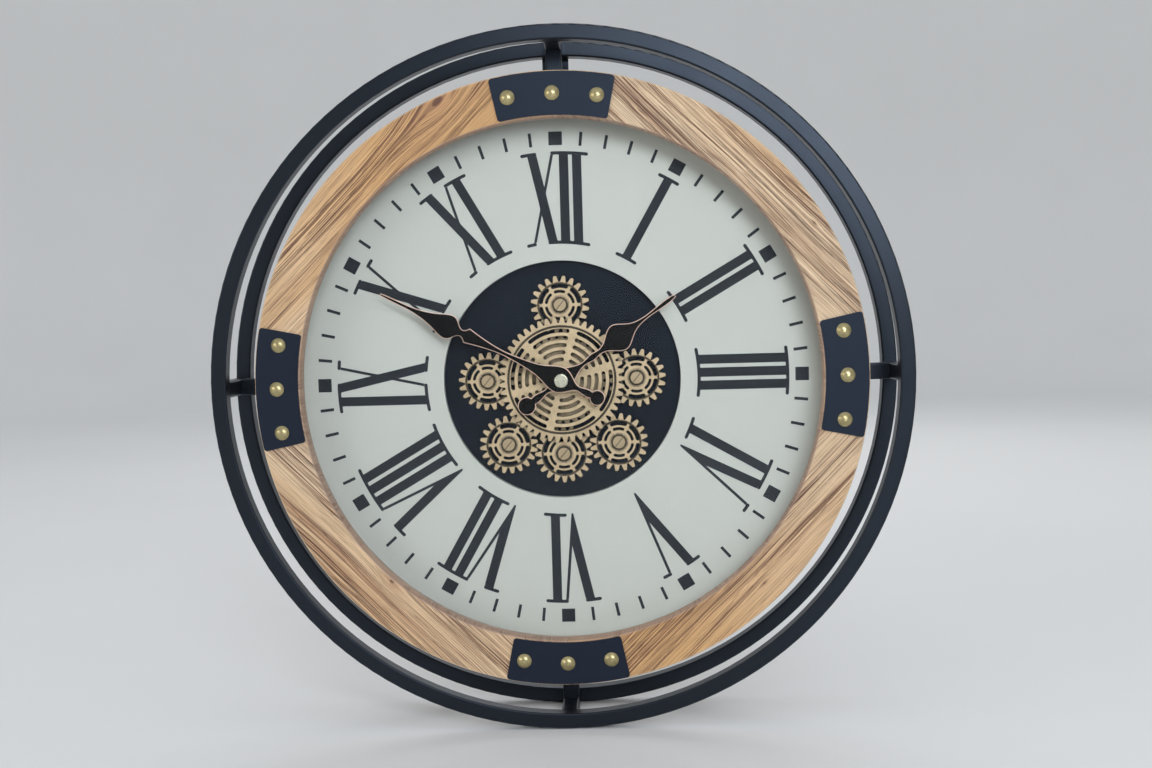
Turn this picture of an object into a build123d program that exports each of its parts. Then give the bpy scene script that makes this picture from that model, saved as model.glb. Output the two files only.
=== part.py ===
"""A round wall clock: two black rings, a wooden bezel, a printed dial and a set of turning gears.

The hanger's keyhole is at the origin, on the wall plane y = 0. +Z is up, the dial faces -Y,
and depths are measured forwards from the wall. All sizes are in millimetres.
"""

from build123d import *
import math
import os

os.makedirs("parts", exist_ok=True)

# Frame of square bar
RING_RADIUS = 230.0
BAR = 10.0
BAR_EDGE = 1.2
STRUT_WIDTH = 11.0
SPOKE_MARGIN = 15.0
SPOKE_SCREW_INSET = 16.0
SPOKE_SCREW_MARGIN = 10.0

# Keyhole hanger, welded inside the rear ring
HANGER_EDGE = 15.0
HANGER_THICKNESS = 2.0
HANGER_WIDTH = 18.0
HANGER_DROP = 12.0
KEYHOLE_RADIUS = 5.0
KEYHOLE_SLOT_RADIUS = 2.5
KEYHOLE_SLOT_RISE = 9.0
WELD_GAP = 0.05

# Wooden bezel, strap plates and studs
RING_GAP = 19.5
WOOD_WIDTH = 29.5
WOOD_THICKNESS = 10.0
WOOD_EDGE = 1.0
WOOD_JOINT = 0.3
STRAP_ANGLE = 23.6
STRAP_MARGIN = 0.8
STRAP_THICKNESS = 1.0
STRAP_CORNER = 2.0
STUD_STEP_ANGLE = 8.9
STUD_HEAD_RADIUS = 4.75
STUD_HEAD_HEIGHT = 2.6
STUD_RIM = 0.5
STUD_SHANK_RADIUS = 0.8
STUD_LENGTH = 7.0

# Glass, case and dial
GLASS_THICKNESS = 2.5
GLASS_LEDGE = 6.0
GLASS_FIT = 0.3
CASE_STEP = 4.0
CASE_WALL = 12.0
DIAL_THICKNESS = 5.0
DIAL_HOLE_MARGIN = 10.2

# Screws, all with a round head
SCREW_RADIUS = 1.5
SCREW_HEAD_RADIUS = 2.8
SCREW_HEAD_HEIGHT = 1.5
SCREW_DRIVE_LENGTH = 3.2
SCREW_DRIVE_WIDTH = 0.7
SCREW_DRIVE_DEPTH = 0.8
SCREW_FIT = 0.05
CASE_SCREW_ANGLES = (22.5, 67.5, 112.5, 157.5, 202.5, 247.5, 292.5, 337.5)
CASE_SCREW_BITE = 6.0
PLATE_SCREW_BITE = 3.0

# Gear train: the plate it stands on and its layers
GEAR_PLATE_MARGIN = 9.0
GEAR_PLATE_THICKNESS = 2.5
GEAR_LIFT = 1.5
GEAR_THICKNESS = 3.0
LAYER_GAP = 1.3
CORNER_SCREW_ANGLES = (45.0, 135.0, 225.0, 315.0)
SHELL_SCREW_INSET = 8.0

# Gear teeth, with tooth sizes as shares of the module
GEAR_MODULE = 1.894
SMALL_TEETH = 20
SUN_TEETH = 33
CENTRE_TEETH = 49
TOOTH_RISE = 0.34
TOOTH_FALL = 1.82
TOOTH_TIP = 1.0
TOOTH_BASE = 2.0
TOOTH_ROUND = 0.37
LOWER_GEAR_ANGLE = 10.5

# Small gear form
SMALL_WEB_DROP = 0.6
SMALL_RIM = 0.5
SMALL_SLOT_INSETS = (2.6, 6.3)
SMALL_SLOT_WIDTHS = (2.8, 2.0)
SMALL_SLOT_BRIDGE = 1.7
SMALL_SLOT_COUNT = 6
CAP_RADIUS = 4.2
CAP_POCKET_MARGIN = 1.0
CAP_POCKET_DEPTH = 1.0
CAP_HEIGHT = 1.8
CAP_EDGE = 0.5
CAP_SEAT = 0.9
CAP_SLOT_WIDTH = 0.7
CAP_SLOT_DEPTH = 0.4
CAP_SLOT_TURN = 50.0
POST_RADIUS = 2.0
POST_FLANGE_RADIUS = 5.0

# Centre gear form
CENTRE_ROOT_RADIUS = 38.3
CENTRE_TOOTH_HEIGHT = 3.8
CENTRE_SLOT_INSET = 5.2
CENTRE_SLOT_PITCH = 4.85
CENTRE_SLOT_ROWS = 5
CENTRE_SLOT_WIDTH = 2.7
CENTRE_SLOT_COUNT = 6
CENTRE_SLOT_START_ANGLE = 15.0
CENTRE_BRIDGE_INNER = 3.3
CENTRE_BRIDGE_OUTER = 5.0
CENTRE_GROOVE_INSET = 2.4
CENTRE_GROOVE_WIDTH = 1.2
CENTRE_GROOVE_DEPTH = 0.8

# Shafts on the centre axis, from the inside out
RUNNING_FIT = 0.05
PUSH_FIT = 0.02
AXIAL_PLAY = 0.3
ARBOR_RADIUS = 1.5
PIPE_WALL = 1.05
BUSH_WALL = 1.35
SLEEVE_WALL = 1.95
BUSH_FLANGE = 2.0
BUSH_FLANGE_THICKNESS = 1.2
BUSH_NUT_RIM = 3.0
BUSH_NUT_HEIGHT = 2.0
BUSH_STUB = 0.6
RETAINER_RIM = 2.5
RETAINER_THICKNESS = 1.2

# Hands, set to the time that they show
HOUR_SHOWN = 1
MINUTE_SHOWN = 49.5
HAND_THICKNESS = 1.2
HAND_BEVEL = 0.45
HAND_GAP = 1.5
HOUR_LIFT = 5.2
HAND_NUT_RADIUS = 4.6
HAND_NUT_HEIGHT = 2.0
HAND_NUT_EDGE = 0.8
HAND_NUT_SEAT = 1.0
GLASS_CLEARANCE = 0.6
MINUTE_LENGTH = 133.0
MINUTE_TAIL = 26.5
HOUR_LENGTH = 94.0
HOUR_TAIL = 28.7
MINUTE_TAIL_DISC = 5.1
HOUR_TAIL_DISC = 6.0
# Half outlines: share of the length, or of the tail where negative, and half width
MINUTE_FORM = (
    (
        (-0.86, 2.0),
        (-0.66, 2.5),
        (-0.45, 1.8),
        (-0.25, 5.0),
        (0.0, 8.6),
        (0.108, 4.7),
        (0.208, 2.3),
        (0.314, 1.4),
        (0.414, 2.5),
        (0.523, 5.2),
    ),
    ((0.523, 5.2), (0.552, 2.3), (0.582, 4.8)),
    ((0.582, 4.8), (0.618, 8.2), (0.689, 5.7), (0.752, 3.1), (0.82, 1.6), (0.887, 1.2), (1.0, 0.8)),
)
HOUR_FORM = (
    (
        (-0.86, 1.9),
        (-0.6, 2.3),
        (-0.4, 1.7),
        (-0.21, 5.0),
        (0.0, 7.4),
        (0.096, 4.4),
        (0.207, 1.4),
        (0.282, 2.3),
        (0.33, 1.7),
        (0.394, 3.2),
        (0.451, 7.2),
        (0.511, 9.4),
        (0.574, 6.7),
        (0.628, 3.4),
        (0.686, 1.7),
        (0.809, 1.2),
        (1.0, 1.0),
    ),
)

# Hidden gears: tooth sizes as shares of the module
FINE_RISE = 0.7
FINE_FALL = 1.0
FINE_TIP = 0.55
FINE_BASE = 1.6
FINE_ROUND = 0.2

# Drive of the gear train
DRIVE_MODULE = 1.0
DRIVE_TEETH = 66
PINION_TEETH = 12
DRIVE_THICKNESS = 2.0
MOTOR_RADIUS = 10.0
MOTOR_LENGTH = 16.0
MOTOR_SHAFT_RADIUS = 1.0
MOTOR_SHAFT_BITE = 6.0
MOTOR_DIRECTION = 90.0
DRIVE_ROOM = 1.4
SHELL_INSET = 2.0
SHELL_WALL = 2.0
BOSS_RADIUS = 3.5

# Quartz movement
MOVEMENT_TOP = 18.0
MOVEMENT_WALL = 1.2
CELL_RADIUS = 7.25
CELL_LENGTH = 50.5
CELL_GAP = 0.3
CELL_END_ROOM = 1.55
CELL_NUB_RADIUS = 2.75
CELL_NUB = 1.5
MOTION_MODULE = 0.4
CANNON_TEETH = 15
MOTION_TEETH = 45
MOTION_PINION_TEETH = 12
HOUR_WHEEL_TEETH = 48
MOTION_THICKNESS = 2.0
MOTION_GAP = 0.8
MOTION_ARBOR_RADIUS = 0.8
KNOB_RADIUS = 5.0
KNOB_TEETH = 20
KNOB_HEIGHT = 1.8
KNOB_GAP = 0.3
KNOB_SEAT = 0.9
KNOB_WALL_GAP = 0.9
BOSS_WALL = 1.6
COIL_RADIUS = 3.4
COIL_LENGTH = 13.0
COIL_FLANGE = 1.2
BOARD_THICKNESS = 0.8
BOARD_WIDTH = 13.0
BOARD_HEIGHT = 12.0

# Battery box of the gear motor
BOX_WALL = 1.2
BOX_GAP = 2.0
BOX_END_GAP = 0.6
DOOR_THICKNESS = 1.2
DOOR_GROOVE = 0.6
DOOR_FIT = 0.15

# Radii on the centre axis, from the inside out
PIPE_RADIUS = ARBOR_RADIUS + RUNNING_FIT + PIPE_WALL
BUSH_RADIUS = PIPE_RADIUS + RUNNING_FIT + BUSH_WALL
SLEEVE_RADIUS = BUSH_RADIUS + RUNNING_FIT + SLEEVE_WALL

# Depths from the wall, worked out from the back to the front
MOVEMENT_WIDTH = CELL_LENGTH + 2 * (CELL_END_ROOM + MOVEMENT_WALL)
MOVEMENT_DEPTH = 2 * (CELL_RADIUS + CELL_GAP + MOVEMENT_WALL)
SHELL_DEPTH = SHELL_WALL + BUSH_NUT_HEIGHT + 2 * AXIAL_PLAY + DRIVE_THICKNESS + DRIVE_ROOM
MOVEMENT_BACK = KNOB_WALL_GAP + KNOB_HEIGHT + KNOB_GAP
SHELL_BACK = MOVEMENT_BACK + MOVEMENT_DEPTH
PLATE_BACK = SHELL_BACK + SHELL_DEPTH
DIAL_BACK = PLATE_BACK + GEAR_PLATE_THICKNESS
DIAL_FRONT = DIAL_BACK + DIAL_THICKNESS
SPOKE_BACK = DIAL_BACK - BAR
SMALL_BACK = DIAL_BACK + GEAR_LIFT
CENTRE_BACK = SMALL_BACK + GEAR_THICKNESS + LAYER_GAP
SLEEVE_FRONT = CENTRE_BACK + GEAR_THICKNESS
NUT_BACK = SHELL_BACK + SHELL_WALL
SLEEVE_BACK = NUT_BACK + BUSH_NUT_HEIGHT + AXIAL_PLAY
RETAINER_BACK = SLEEVE_FRONT + AXIAL_PLAY
HOUR_BACK = SLEEVE_FRONT + HOUR_LIFT
MINUTE_BACK = HOUR_BACK + HAND_THICKNESS + HAND_GAP
HAND_FRONT = MINUTE_BACK + HAND_THICKNESS
GLASS_BACK = HAND_FRONT + HAND_NUT_HEIGHT + GLASS_CLEARANCE
WOOD_BACK = GLASS_BACK + GLASS_THICKNESS
FRONT = WOOD_BACK + WOOD_THICKNESS
RING_SPACING = FRONT - BAR

# Gear places, as seen from the front with +y up
SMALL_PITCH_RADIUS = GEAR_MODULE * SMALL_TEETH / 2
SMALL_ROOT_RADIUS = SMALL_PITCH_RADIUS - TOOTH_FALL * GEAR_MODULE
SUN_PITCH_RADIUS = GEAR_MODULE * SUN_TEETH / 2
SUN_PHASE = 90.0
GEAR_CIRCLE = SUN_PITCH_RADIUS + SMALL_PITCH_RADIUS
LOWER_GEARS = {"lower_right": LOWER_GEAR_ANGLE, "lower_left": 180.0 - LOWER_GEAR_ANGLE}
MOTOR_DISTANCE = DRIVE_MODULE * (DRIVE_TEETH + PINION_TEETH) / 2

# Radii around the dial axis, inwards from the rings and outwards from the gears
RING_INNER_RADIUS = RING_RADIUS - BAR
HANGER_HEIGHT = RING_INNER_RADIUS - HANGER_EDGE
WOOD_OUTER_RADIUS = RING_INNER_RADIUS - RING_GAP
WOOD_INNER_RADIUS = WOOD_OUTER_RADIUS - WOOD_WIDTH
STUD_CIRCLE = (WOOD_OUTER_RADIUS + WOOD_INNER_RADIUS) / 2
CASE_INNER_RADIUS = WOOD_INNER_RADIUS + CASE_STEP
CASE_OUTER_RADIUS = CASE_INNER_RADIUS + CASE_WALL
GLASS_RADIUS = CASE_INNER_RADIUS + GLASS_LEDGE
DIAL_HOLE_RADIUS = GEAR_CIRCLE + SMALL_PITCH_RADIUS + TOOTH_RISE * GEAR_MODULE + DIAL_HOLE_MARGIN
GEAR_PLATE_RADIUS = DIAL_HOLE_RADIUS + GEAR_PLATE_MARGIN
SHELL_RADIUS = DIAL_HOLE_RADIUS - SHELL_INSET
SHELL_SCREW_RADIUS = SHELL_RADIUS - SHELL_SCREW_INSET
SPOKE_INNER_RADIUS = GEAR_PLATE_RADIUS + SPOKE_MARGIN
SPOKE_SCREW_RADII = (SPOKE_INNER_RADIUS + SPOKE_SCREW_INSET, CASE_INNER_RADIUS - SPOKE_SCREW_MARGIN)
AXIS_Z = -HANGER_HEIGHT
SIDES = {"right": 0.0, "top": 90.0, "left": 180.0, "bottom": 270.0}
QUARTERS = {"upper_right": 0.0, "upper_left": 90.0, "lower_left": 180.0, "lower_right": 270.0}


def polar(radius, angle):
    """Point at a radius and an angle in degrees."""
    return radius * math.cos(math.radians(angle)), radius * math.sin(math.radians(angle))


def mesh_phase(drive_teeth, drive_phase, teeth, direction):
    """Angle of a gear's first tooth so that it meshes with a gear that it lies in a direction from."""
    offset = (direction - drive_phase) * drive_teeth / 360
    return direction + 180 - (0.5 - offset) * 360 / teeth


def face_plane(depth, x=0.0, y=0.0, turn=0.0):
    """Plane that faces the viewer at a depth, centred on the dial axis or x, y from it."""
    across, up = polar(1.0, turn)
    return Plane(origin=(x, -depth, AXIS_Z + y), x_dir=(across, 0, up), z_dir=(0, -1, 0))


def keep(piece, name):
    """Label a finished sub-part and write its file."""
    piece.part.label = name
    export_step(piece.part, f"parts/{name}.step")


def draw_teeth(teeth, root_radius, tip_radius, tip_width, base_width, tip_round, phase):
    """Draw a toothed disc in the open sketch."""
    inset = math.sqrt(root_radius**2 - (base_width / 2) ** 2)
    reach = math.sqrt(tip_radius**2 - (tip_width / 2) ** 2)
    tooth = [
        (inset, -base_width / 2),
        (reach, -tip_width / 2),
        (reach, tip_width / 2),
        (inset, base_width / 2),
    ]
    outline = []
    for step in range(teeth):
        across, up = polar(1.0, phase + 360 * step / teeth)
        outline += [(x * across - y * up, x * up + y * across) for x, y in tooth]
    Polygon(*outline, align=None)
    middle = (tip_radius + root_radius) / 2
    fillet(vertices().filter_by(lambda corner: math.hypot(corner.X, corner.Y) > middle), tip_round)


def draw_gear(teeth, phase):
    """Draw a gear of the visible train in the open sketch."""
    pitch_radius = GEAR_MODULE * teeth / 2
    draw_teeth(
        teeth,
        pitch_radius - TOOTH_FALL * GEAR_MODULE,
        pitch_radius + TOOTH_RISE * GEAR_MODULE,
        TOOTH_TIP * GEAR_MODULE,
        TOOTH_BASE * GEAR_MODULE,
        TOOTH_ROUND * GEAR_MODULE,
        phase,
    )


def draw_fine_teeth(teeth, module, phase):
    """Draw a hidden gear in the open sketch, with plain flanks."""
    pitch_radius = module * teeth / 2
    draw_teeth(
        teeth,
        pitch_radius - FINE_FALL * module,
        pitch_radius + FINE_RISE * module,
        FINE_TIP * module,
        FINE_BASE * module,
        FINE_ROUND * module,
        phase,
    )


def slot_arc(radius, width, bridge, count):
    """Centre line of one of a ring of arc slots, with a bridge between their round ends."""
    lost = math.degrees((bridge + width) / radius)
    return CenterArc((0, 0), radius, lost / 2, 360 / count - lost)


def cut_slot_row(arc, width, count, start_angle):
    """Cut a ring of arc slots out of the open sketch."""
    with PolarLocations(0, count, start_angle=start_angle):
        SlotArc(arc, width, mode=Mode.SUBTRACT)


def keep_rings():
    """Front and rear ring of square bar."""
    for name, back in (("rear_ring", 0.0), ("front_ring", RING_SPACING)):
        with BuildPart() as ring:
            with BuildSketch(face_plane(back)):
                Circle(RING_RADIUS)
                Circle(RING_INNER_RADIUS, mode=Mode.SUBTRACT)
            extrude(amount=BAR)
            fillet(ring.edges().filter_by(GeomType.CIRCLE), BAR_EDGE)
        keep(ring, name)


def keep_struts_and_spokes():
    """Bars that join the rings, and the spokes that carry the dial."""
    for side, angle in SIDES.items():
        with BuildPart() as strut:
            with BuildSketch(face_plane(BAR)):
                with PolarLocations(RING_RADIUS - BAR / 2, 1, start_angle=angle):
                    Rectangle(BAR, STRUT_WIDTH)
                fillet(vertices(), BAR_EDGE)
            extrude(amount=RING_SPACING - BAR)
        keep(strut, f"strut_{side}")

        length = RING_INNER_RADIUS - SPOKE_INNER_RADIUS
        with BuildPart() as spoke:
            with BuildSketch(face_plane(SPOKE_BACK)):
                with PolarLocations(SPOKE_INNER_RADIUS + length / 2, 1, start_angle=angle):
                    Rectangle(length, STRUT_WIDTH)
                for radius in SPOKE_SCREW_RADII:
                    with PolarLocations(radius, 1, start_angle=angle):
                        Circle(SCREW_RADIUS + SCREW_FIT, mode=Mode.SUBTRACT)
            extrude(amount=BAR)
            across, up = polar(1.0, angle)
            fillet(spoke.edges().filter_by(Axis((0, 0, 0), (across, 0, up))), BAR_EDGE)
        keep(spoke, f"spoke_{side}")


def keep_hanger():
    """Plate with a keyhole, inside the top of the rear ring. The keyhole's round end is the origin."""
    edge_radius = RING_INNER_RADIUS - WELD_GAP
    with BuildPart() as hanger:
        with BuildSketch(face_plane(0.0)):
            Circle(edge_radius)
            with Locations((0, HANGER_HEIGHT - HANGER_DROP)):
                Rectangle(HANGER_WIDTH, RING_RADIUS, align=(Align.CENTER, Align.MIN), mode=Mode.INTERSECT)
            with Locations((0, HANGER_HEIGHT)):
                Circle(KEYHOLE_RADIUS, mode=Mode.SUBTRACT)
                Rectangle(
                    2 * KEYHOLE_SLOT_RADIUS,
                    KEYHOLE_SLOT_RISE,
                    align=(Align.CENTER, Align.MIN),
                    mode=Mode.SUBTRACT,
                )
            with Locations((0, HANGER_HEIGHT + KEYHOLE_SLOT_RISE)):
                Circle(KEYHOLE_SLOT_RADIUS, mode=Mode.SUBTRACT)
        extrude(amount=HANGER_THICKNESS)
    keep(hanger, "hanger_plate")


def stud_places():
    """Angles of all the studs."""
    return [side + step * STUD_STEP_ANGLE for side in SIDES.values() for step in (-1, 0, 1)]


def cut_stud_holes():
    """Cut every stud hole out of the open sketch."""
    with Locations(*[polar(STUD_CIRCLE, angle) for angle in stud_places()]):
        Circle(STUD_SHANK_RADIUS + PUSH_FIT, mode=Mode.SUBTRACT)


def case_screw_points():
    """Places of the screws through dial, case ring and bezel."""
    radius = (GLASS_RADIUS + GLASS_FIT + CASE_OUTER_RADIUS) / 2
    return [polar(radius, angle) for angle in CASE_SCREW_ANGLES]


def keep_bezel():
    """Four quarter segments of the wooden bezel."""
    for name, angle in QUARTERS.items():
        with BuildPart() as segment:
            with BuildSketch(face_plane(WOOD_BACK, turn=angle)):
                Circle(WOOD_OUTER_RADIUS)
                Circle(WOOD_INNER_RADIUS, mode=Mode.SUBTRACT)
                with Locations((WOOD_JOINT / 2, WOOD_JOINT / 2)):
                    Rectangle(
                        WOOD_OUTER_RADIUS,
                        WOOD_OUTER_RADIUS,
                        align=(Align.MIN, Align.MIN),
                        mode=Mode.INTERSECT,
                    )
                cut_stud_holes()
            extrude(amount=WOOD_THICKNESS)
            front_edges = segment.faces().sort_by(Axis.Y)[0].edges().filter_by(GeomType.CIRCLE)
            fillet(front_edges.filter_by(lambda edge: edge.radius > STUD_CIRCLE / 2), WOOD_EDGE)
            with BuildSketch(face_plane(WOOD_BACK)):
                with Locations(*case_screw_points()):
                    Circle(SCREW_RADIUS + SCREW_FIT)
            extrude(amount=CASE_SCREW_BITE, mode=Mode.SUBTRACT)
        keep(segment, f"bezel_{name}")


def keep_straps():
    """Strap plates over the joints of the bezel."""
    inner_radius = WOOD_INNER_RADIUS + STRAP_MARGIN
    outer_radius = WOOD_OUTER_RADIUS - STRAP_MARGIN
    for side, angle in SIDES.items():
        with BuildPart() as strap:
            with BuildSketch(face_plane(FRONT)):
                with BuildLine():
                    inner = CenterArc((0, 0), inner_radius, angle - STRAP_ANGLE / 2, STRAP_ANGLE)
                    outer = CenterArc((0, 0), outer_radius, angle - STRAP_ANGLE / 2, STRAP_ANGLE)
                    Line(inner @ 0, outer @ 0)
                    Line(inner @ 1, outer @ 1)
                make_face()
                fillet(vertices(), STRAP_CORNER)
                cut_stud_holes()
            extrude(amount=STRAP_THICKNESS)
        keep(strap, f"strap_{side}")


def keep_studs():
    """Dome-headed studs, three in each strap plate."""
    rise = STUD_HEAD_HEIGHT - STUD_RIM
    dome_radius = (STUD_HEAD_RADIUS**2 + rise**2) / (2 * rise)
    with BuildPart() as stud:
        with BuildSketch(Plane.XZ):
            with BuildLine():
                dome = RadiusArc((STUD_HEAD_RADIUS, STUD_RIM), (0, STUD_HEAD_HEIGHT), -dome_radius)
                Polyline(
                    dome @ 1,
                    (0, -STUD_LENGTH),
                    (STUD_SHANK_RADIUS, -STUD_LENGTH),
                    (STUD_SHANK_RADIUS, 0),
                    (STUD_HEAD_RADIUS, 0),
                    dome @ 0,
                )
            make_face()
        revolve(axis=Axis.Z)
    with BuildPart(face_plane(FRONT + STRAP_THICKNESS)) as studs:
        with Locations(*[polar(STUD_CIRCLE, angle) for angle in stud_places()]):
            add(stud.part)
    keep(studs, "dome_studs")


def keep_glass_and_case():
    """Front glass and the ring that holds it off the dial."""
    with BuildPart() as glass:
        with BuildSketch(face_plane(GLASS_BACK)):
            Circle(GLASS_RADIUS)
        extrude(amount=GLASS_THICKNESS)
    keep(glass, "front_glass")

    with BuildPart() as case:
        with BuildSketch(face_plane(DIAL_FRONT)):
            Circle(CASE_OUTER_RADIUS)
            Circle(CASE_INNER_RADIUS, mode=Mode.SUBTRACT)
            with Locations(*case_screw_points()):
                Circle(SCREW_RADIUS + SCREW_FIT, mode=Mode.SUBTRACT)
        extrude(amount=WOOD_BACK - DIAL_FRONT)
        with BuildSketch(face_plane(GLASS_BACK)):
            Circle(GLASS_RADIUS + GLASS_FIT)
        extrude(amount=GLASS_THICKNESS, mode=Mode.SUBTRACT)
    keep(case, "case_ring")


def plate_screw_points():
    """Places of the screws that hold the gear plate to the dial board."""
    radius = (DIAL_HOLE_RADIUS + GEAR_PLATE_RADIUS) / 2
    return [polar(radius, angle) for angle in CORNER_SCREW_ANGLES]


def spoke_screw_points():
    """Places of the screws that hold the dial board to the spokes."""
    return [polar(radius, angle) for angle in SIDES.values() for radius in SPOKE_SCREW_RADII]


def keep_dial():
    """Dial board with the round cut-out that shows the gears."""
    with BuildPart() as dial:
        with BuildSketch(face_plane(DIAL_BACK)):
            Circle(CASE_OUTER_RADIUS)
            Circle(DIAL_HOLE_RADIUS, mode=Mode.SUBTRACT)
            with Locations(*case_screw_points()):
                Circle(SCREW_RADIUS + SCREW_FIT, mode=Mode.SUBTRACT)
        extrude(amount=DIAL_THICKNESS)
        with BuildSketch(face_plane(DIAL_BACK)):
            with Locations(*plate_screw_points(), *spoke_screw_points()):
                Circle(SCREW_RADIUS + SCREW_FIT)
        extrude(amount=PLATE_SCREW_BITE, mode=Mode.SUBTRACT)
    keep(dial, "dial_board")


def keep_screws(name, groups):
    """Cross-head screws in groups of points, seat depth and tip depth, with their heads behind the seat."""
    with BuildPart() as screws:
        for points, seat, tip in groups:
            with BuildSketch(face_plane(seat)):
                with Locations(*points):
                    Circle(SCREW_RADIUS)
            extrude(amount=tip - seat)
            with BuildSketch(face_plane(seat)):
                with Locations(*points):
                    Circle(SCREW_HEAD_RADIUS)
            heads = extrude(amount=-SCREW_HEAD_HEIGHT)
            fillet(heads.faces().group_by(Axis.Y)[-1].edges(), SCREW_HEAD_HEIGHT / 2)
            with BuildSketch(face_plane(seat - SCREW_HEAD_HEIGHT)):
                with Locations(*points):
                    Rectangle(SCREW_DRIVE_LENGTH, SCREW_DRIVE_WIDTH)
                    Rectangle(SCREW_DRIVE_WIDTH, SCREW_DRIVE_LENGTH)
            extrude(amount=SCREW_DRIVE_DEPTH, mode=Mode.SUBTRACT)
    keep(screws, name)


def small_gear_places():
    """Name, centre and first tooth angle of each small gear."""
    places = {}
    for side, direction in SIDES.items():
        phase = mesh_phase(SUN_TEETH, SUN_PHASE, SMALL_TEETH, direction)
        places[side] = (polar(GEAR_CIRCLE, direction), phase)
    bottom_centre, bottom_phase = places["bottom"]
    for side, direction in LOWER_GEARS.items():
        phase = mesh_phase(SMALL_TEETH, bottom_phase, SMALL_TEETH, direction)
        step = polar(2 * SMALL_PITCH_RADIUS, direction)
        places[side] = ((bottom_centre[0] + step[0], bottom_centre[1] + step[1]), phase)
    return places


def keep_gear_plate():
    """Plate behind the dial's cut-out, which carries the gear posts."""
    with BuildPart() as plate:
        with BuildSketch(face_plane(PLATE_BACK)):
            Circle(GEAR_PLATE_RADIUS)
            Circle(SLEEVE_RADIUS + AXIAL_PLAY, mode=Mode.SUBTRACT)
            with Locations(*plate_screw_points()):
                Circle(SCREW_RADIUS + SCREW_FIT, mode=Mode.SUBTRACT)
            with Locations(*[centre for centre, _ in small_gear_places().values()]):
                Circle(POST_RADIUS + PUSH_FIT, mode=Mode.SUBTRACT)
        extrude(amount=GEAR_PLATE_THICKNESS)
        with BuildSketch(face_plane(PLATE_BACK)):
            with Locations(*shell_screw_points()):
                Circle(SCREW_RADIUS + SCREW_FIT)
        extrude(amount=GEAR_PLATE_THICKNESS / 2, mode=Mode.SUBTRACT)
    keep(plate, "gear_plate")


def keep_posts_and_caps():
    """Posts that the small gears turn on, and the slotted caps that keep them there."""
    points = [centre for centre, _ in small_gear_places().values()]
    cap_back = SMALL_BACK + GEAR_THICKNESS - CAP_POCKET_DEPTH + AXIAL_PLAY
    with BuildPart() as posts:
        with BuildSketch(face_plane(PLATE_BACK)):
            with Locations(*points):
                Circle(POST_RADIUS)
        extrude(amount=cap_back + CAP_SEAT - PLATE_BACK)
        with BuildSketch(face_plane(DIAL_BACK)):
            with Locations(*points):
                Circle(POST_FLANGE_RADIUS)
        extrude(amount=GEAR_LIFT - AXIAL_PLAY)
    keep(posts, "gear_posts")

    with BuildPart() as caps:
        with BuildSketch(face_plane(cap_back)):
            with Locations(*points):
                Circle(CAP_RADIUS)
        extrude(amount=CAP_HEIGHT)
        fillet(caps.faces().group_by(Axis.Y)[0].edges(), CAP_EDGE)
        with BuildSketch(face_plane(cap_back)):
            with Locations(*points):
                Circle(POST_RADIUS + PUSH_FIT)
        extrude(amount=CAP_SEAT, mode=Mode.SUBTRACT)
        with BuildSketch(face_plane(cap_back + CAP_HEIGHT)):
            with Locations(*points):
                Rectangle(2 * CAP_RADIUS + CAP_SLOT_WIDTH, CAP_SLOT_WIDTH, rotation=CAP_SLOT_TURN)
        extrude(amount=-CAP_SLOT_DEPTH, mode=Mode.SUBTRACT)
    keep(caps, "gear_caps")


def keep_small_gears():
    """Six small gears with two rows of arc slots and a sunk web."""
    web_radius = SMALL_ROOT_RADIUS - SMALL_RIM
    web_inner_radius = SMALL_ROOT_RADIUS - SMALL_SLOT_INSETS[0] + SMALL_SLOT_WIDTHS[0] / 2
    rows = [
        (slot_arc(SMALL_ROOT_RADIUS - inset, width, SMALL_SLOT_BRIDGE, SMALL_SLOT_COUNT), width)
        for inset, width in zip(SMALL_SLOT_INSETS, SMALL_SLOT_WIDTHS)
    ]
    for side, (centre, phase) in small_gear_places().items():
        with BuildPart() as gear:
            with BuildSketch(face_plane(SMALL_BACK, *centre)):
                draw_gear(SMALL_TEETH, phase)
                Circle(POST_RADIUS + RUNNING_FIT, mode=Mode.SUBTRACT)
                for arc, width in rows:
                    cut_slot_row(arc, width, SMALL_SLOT_COUNT, 0.0)
            extrude(amount=GEAR_THICKNESS)
            with BuildSketch(face_plane(SMALL_BACK + GEAR_THICKNESS, *centre)):
                Circle(web_radius)
                Circle(web_inner_radius, mode=Mode.SUBTRACT)
            extrude(amount=-SMALL_WEB_DROP, mode=Mode.SUBTRACT)
            with BuildSketch(face_plane(SMALL_BACK + GEAR_THICKNESS, *centre)):
                Circle(CAP_RADIUS + CAP_POCKET_MARGIN)
            extrude(amount=-CAP_POCKET_DEPTH, mode=Mode.SUBTRACT)
        keep(gear, f"gear_{side}")


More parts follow.
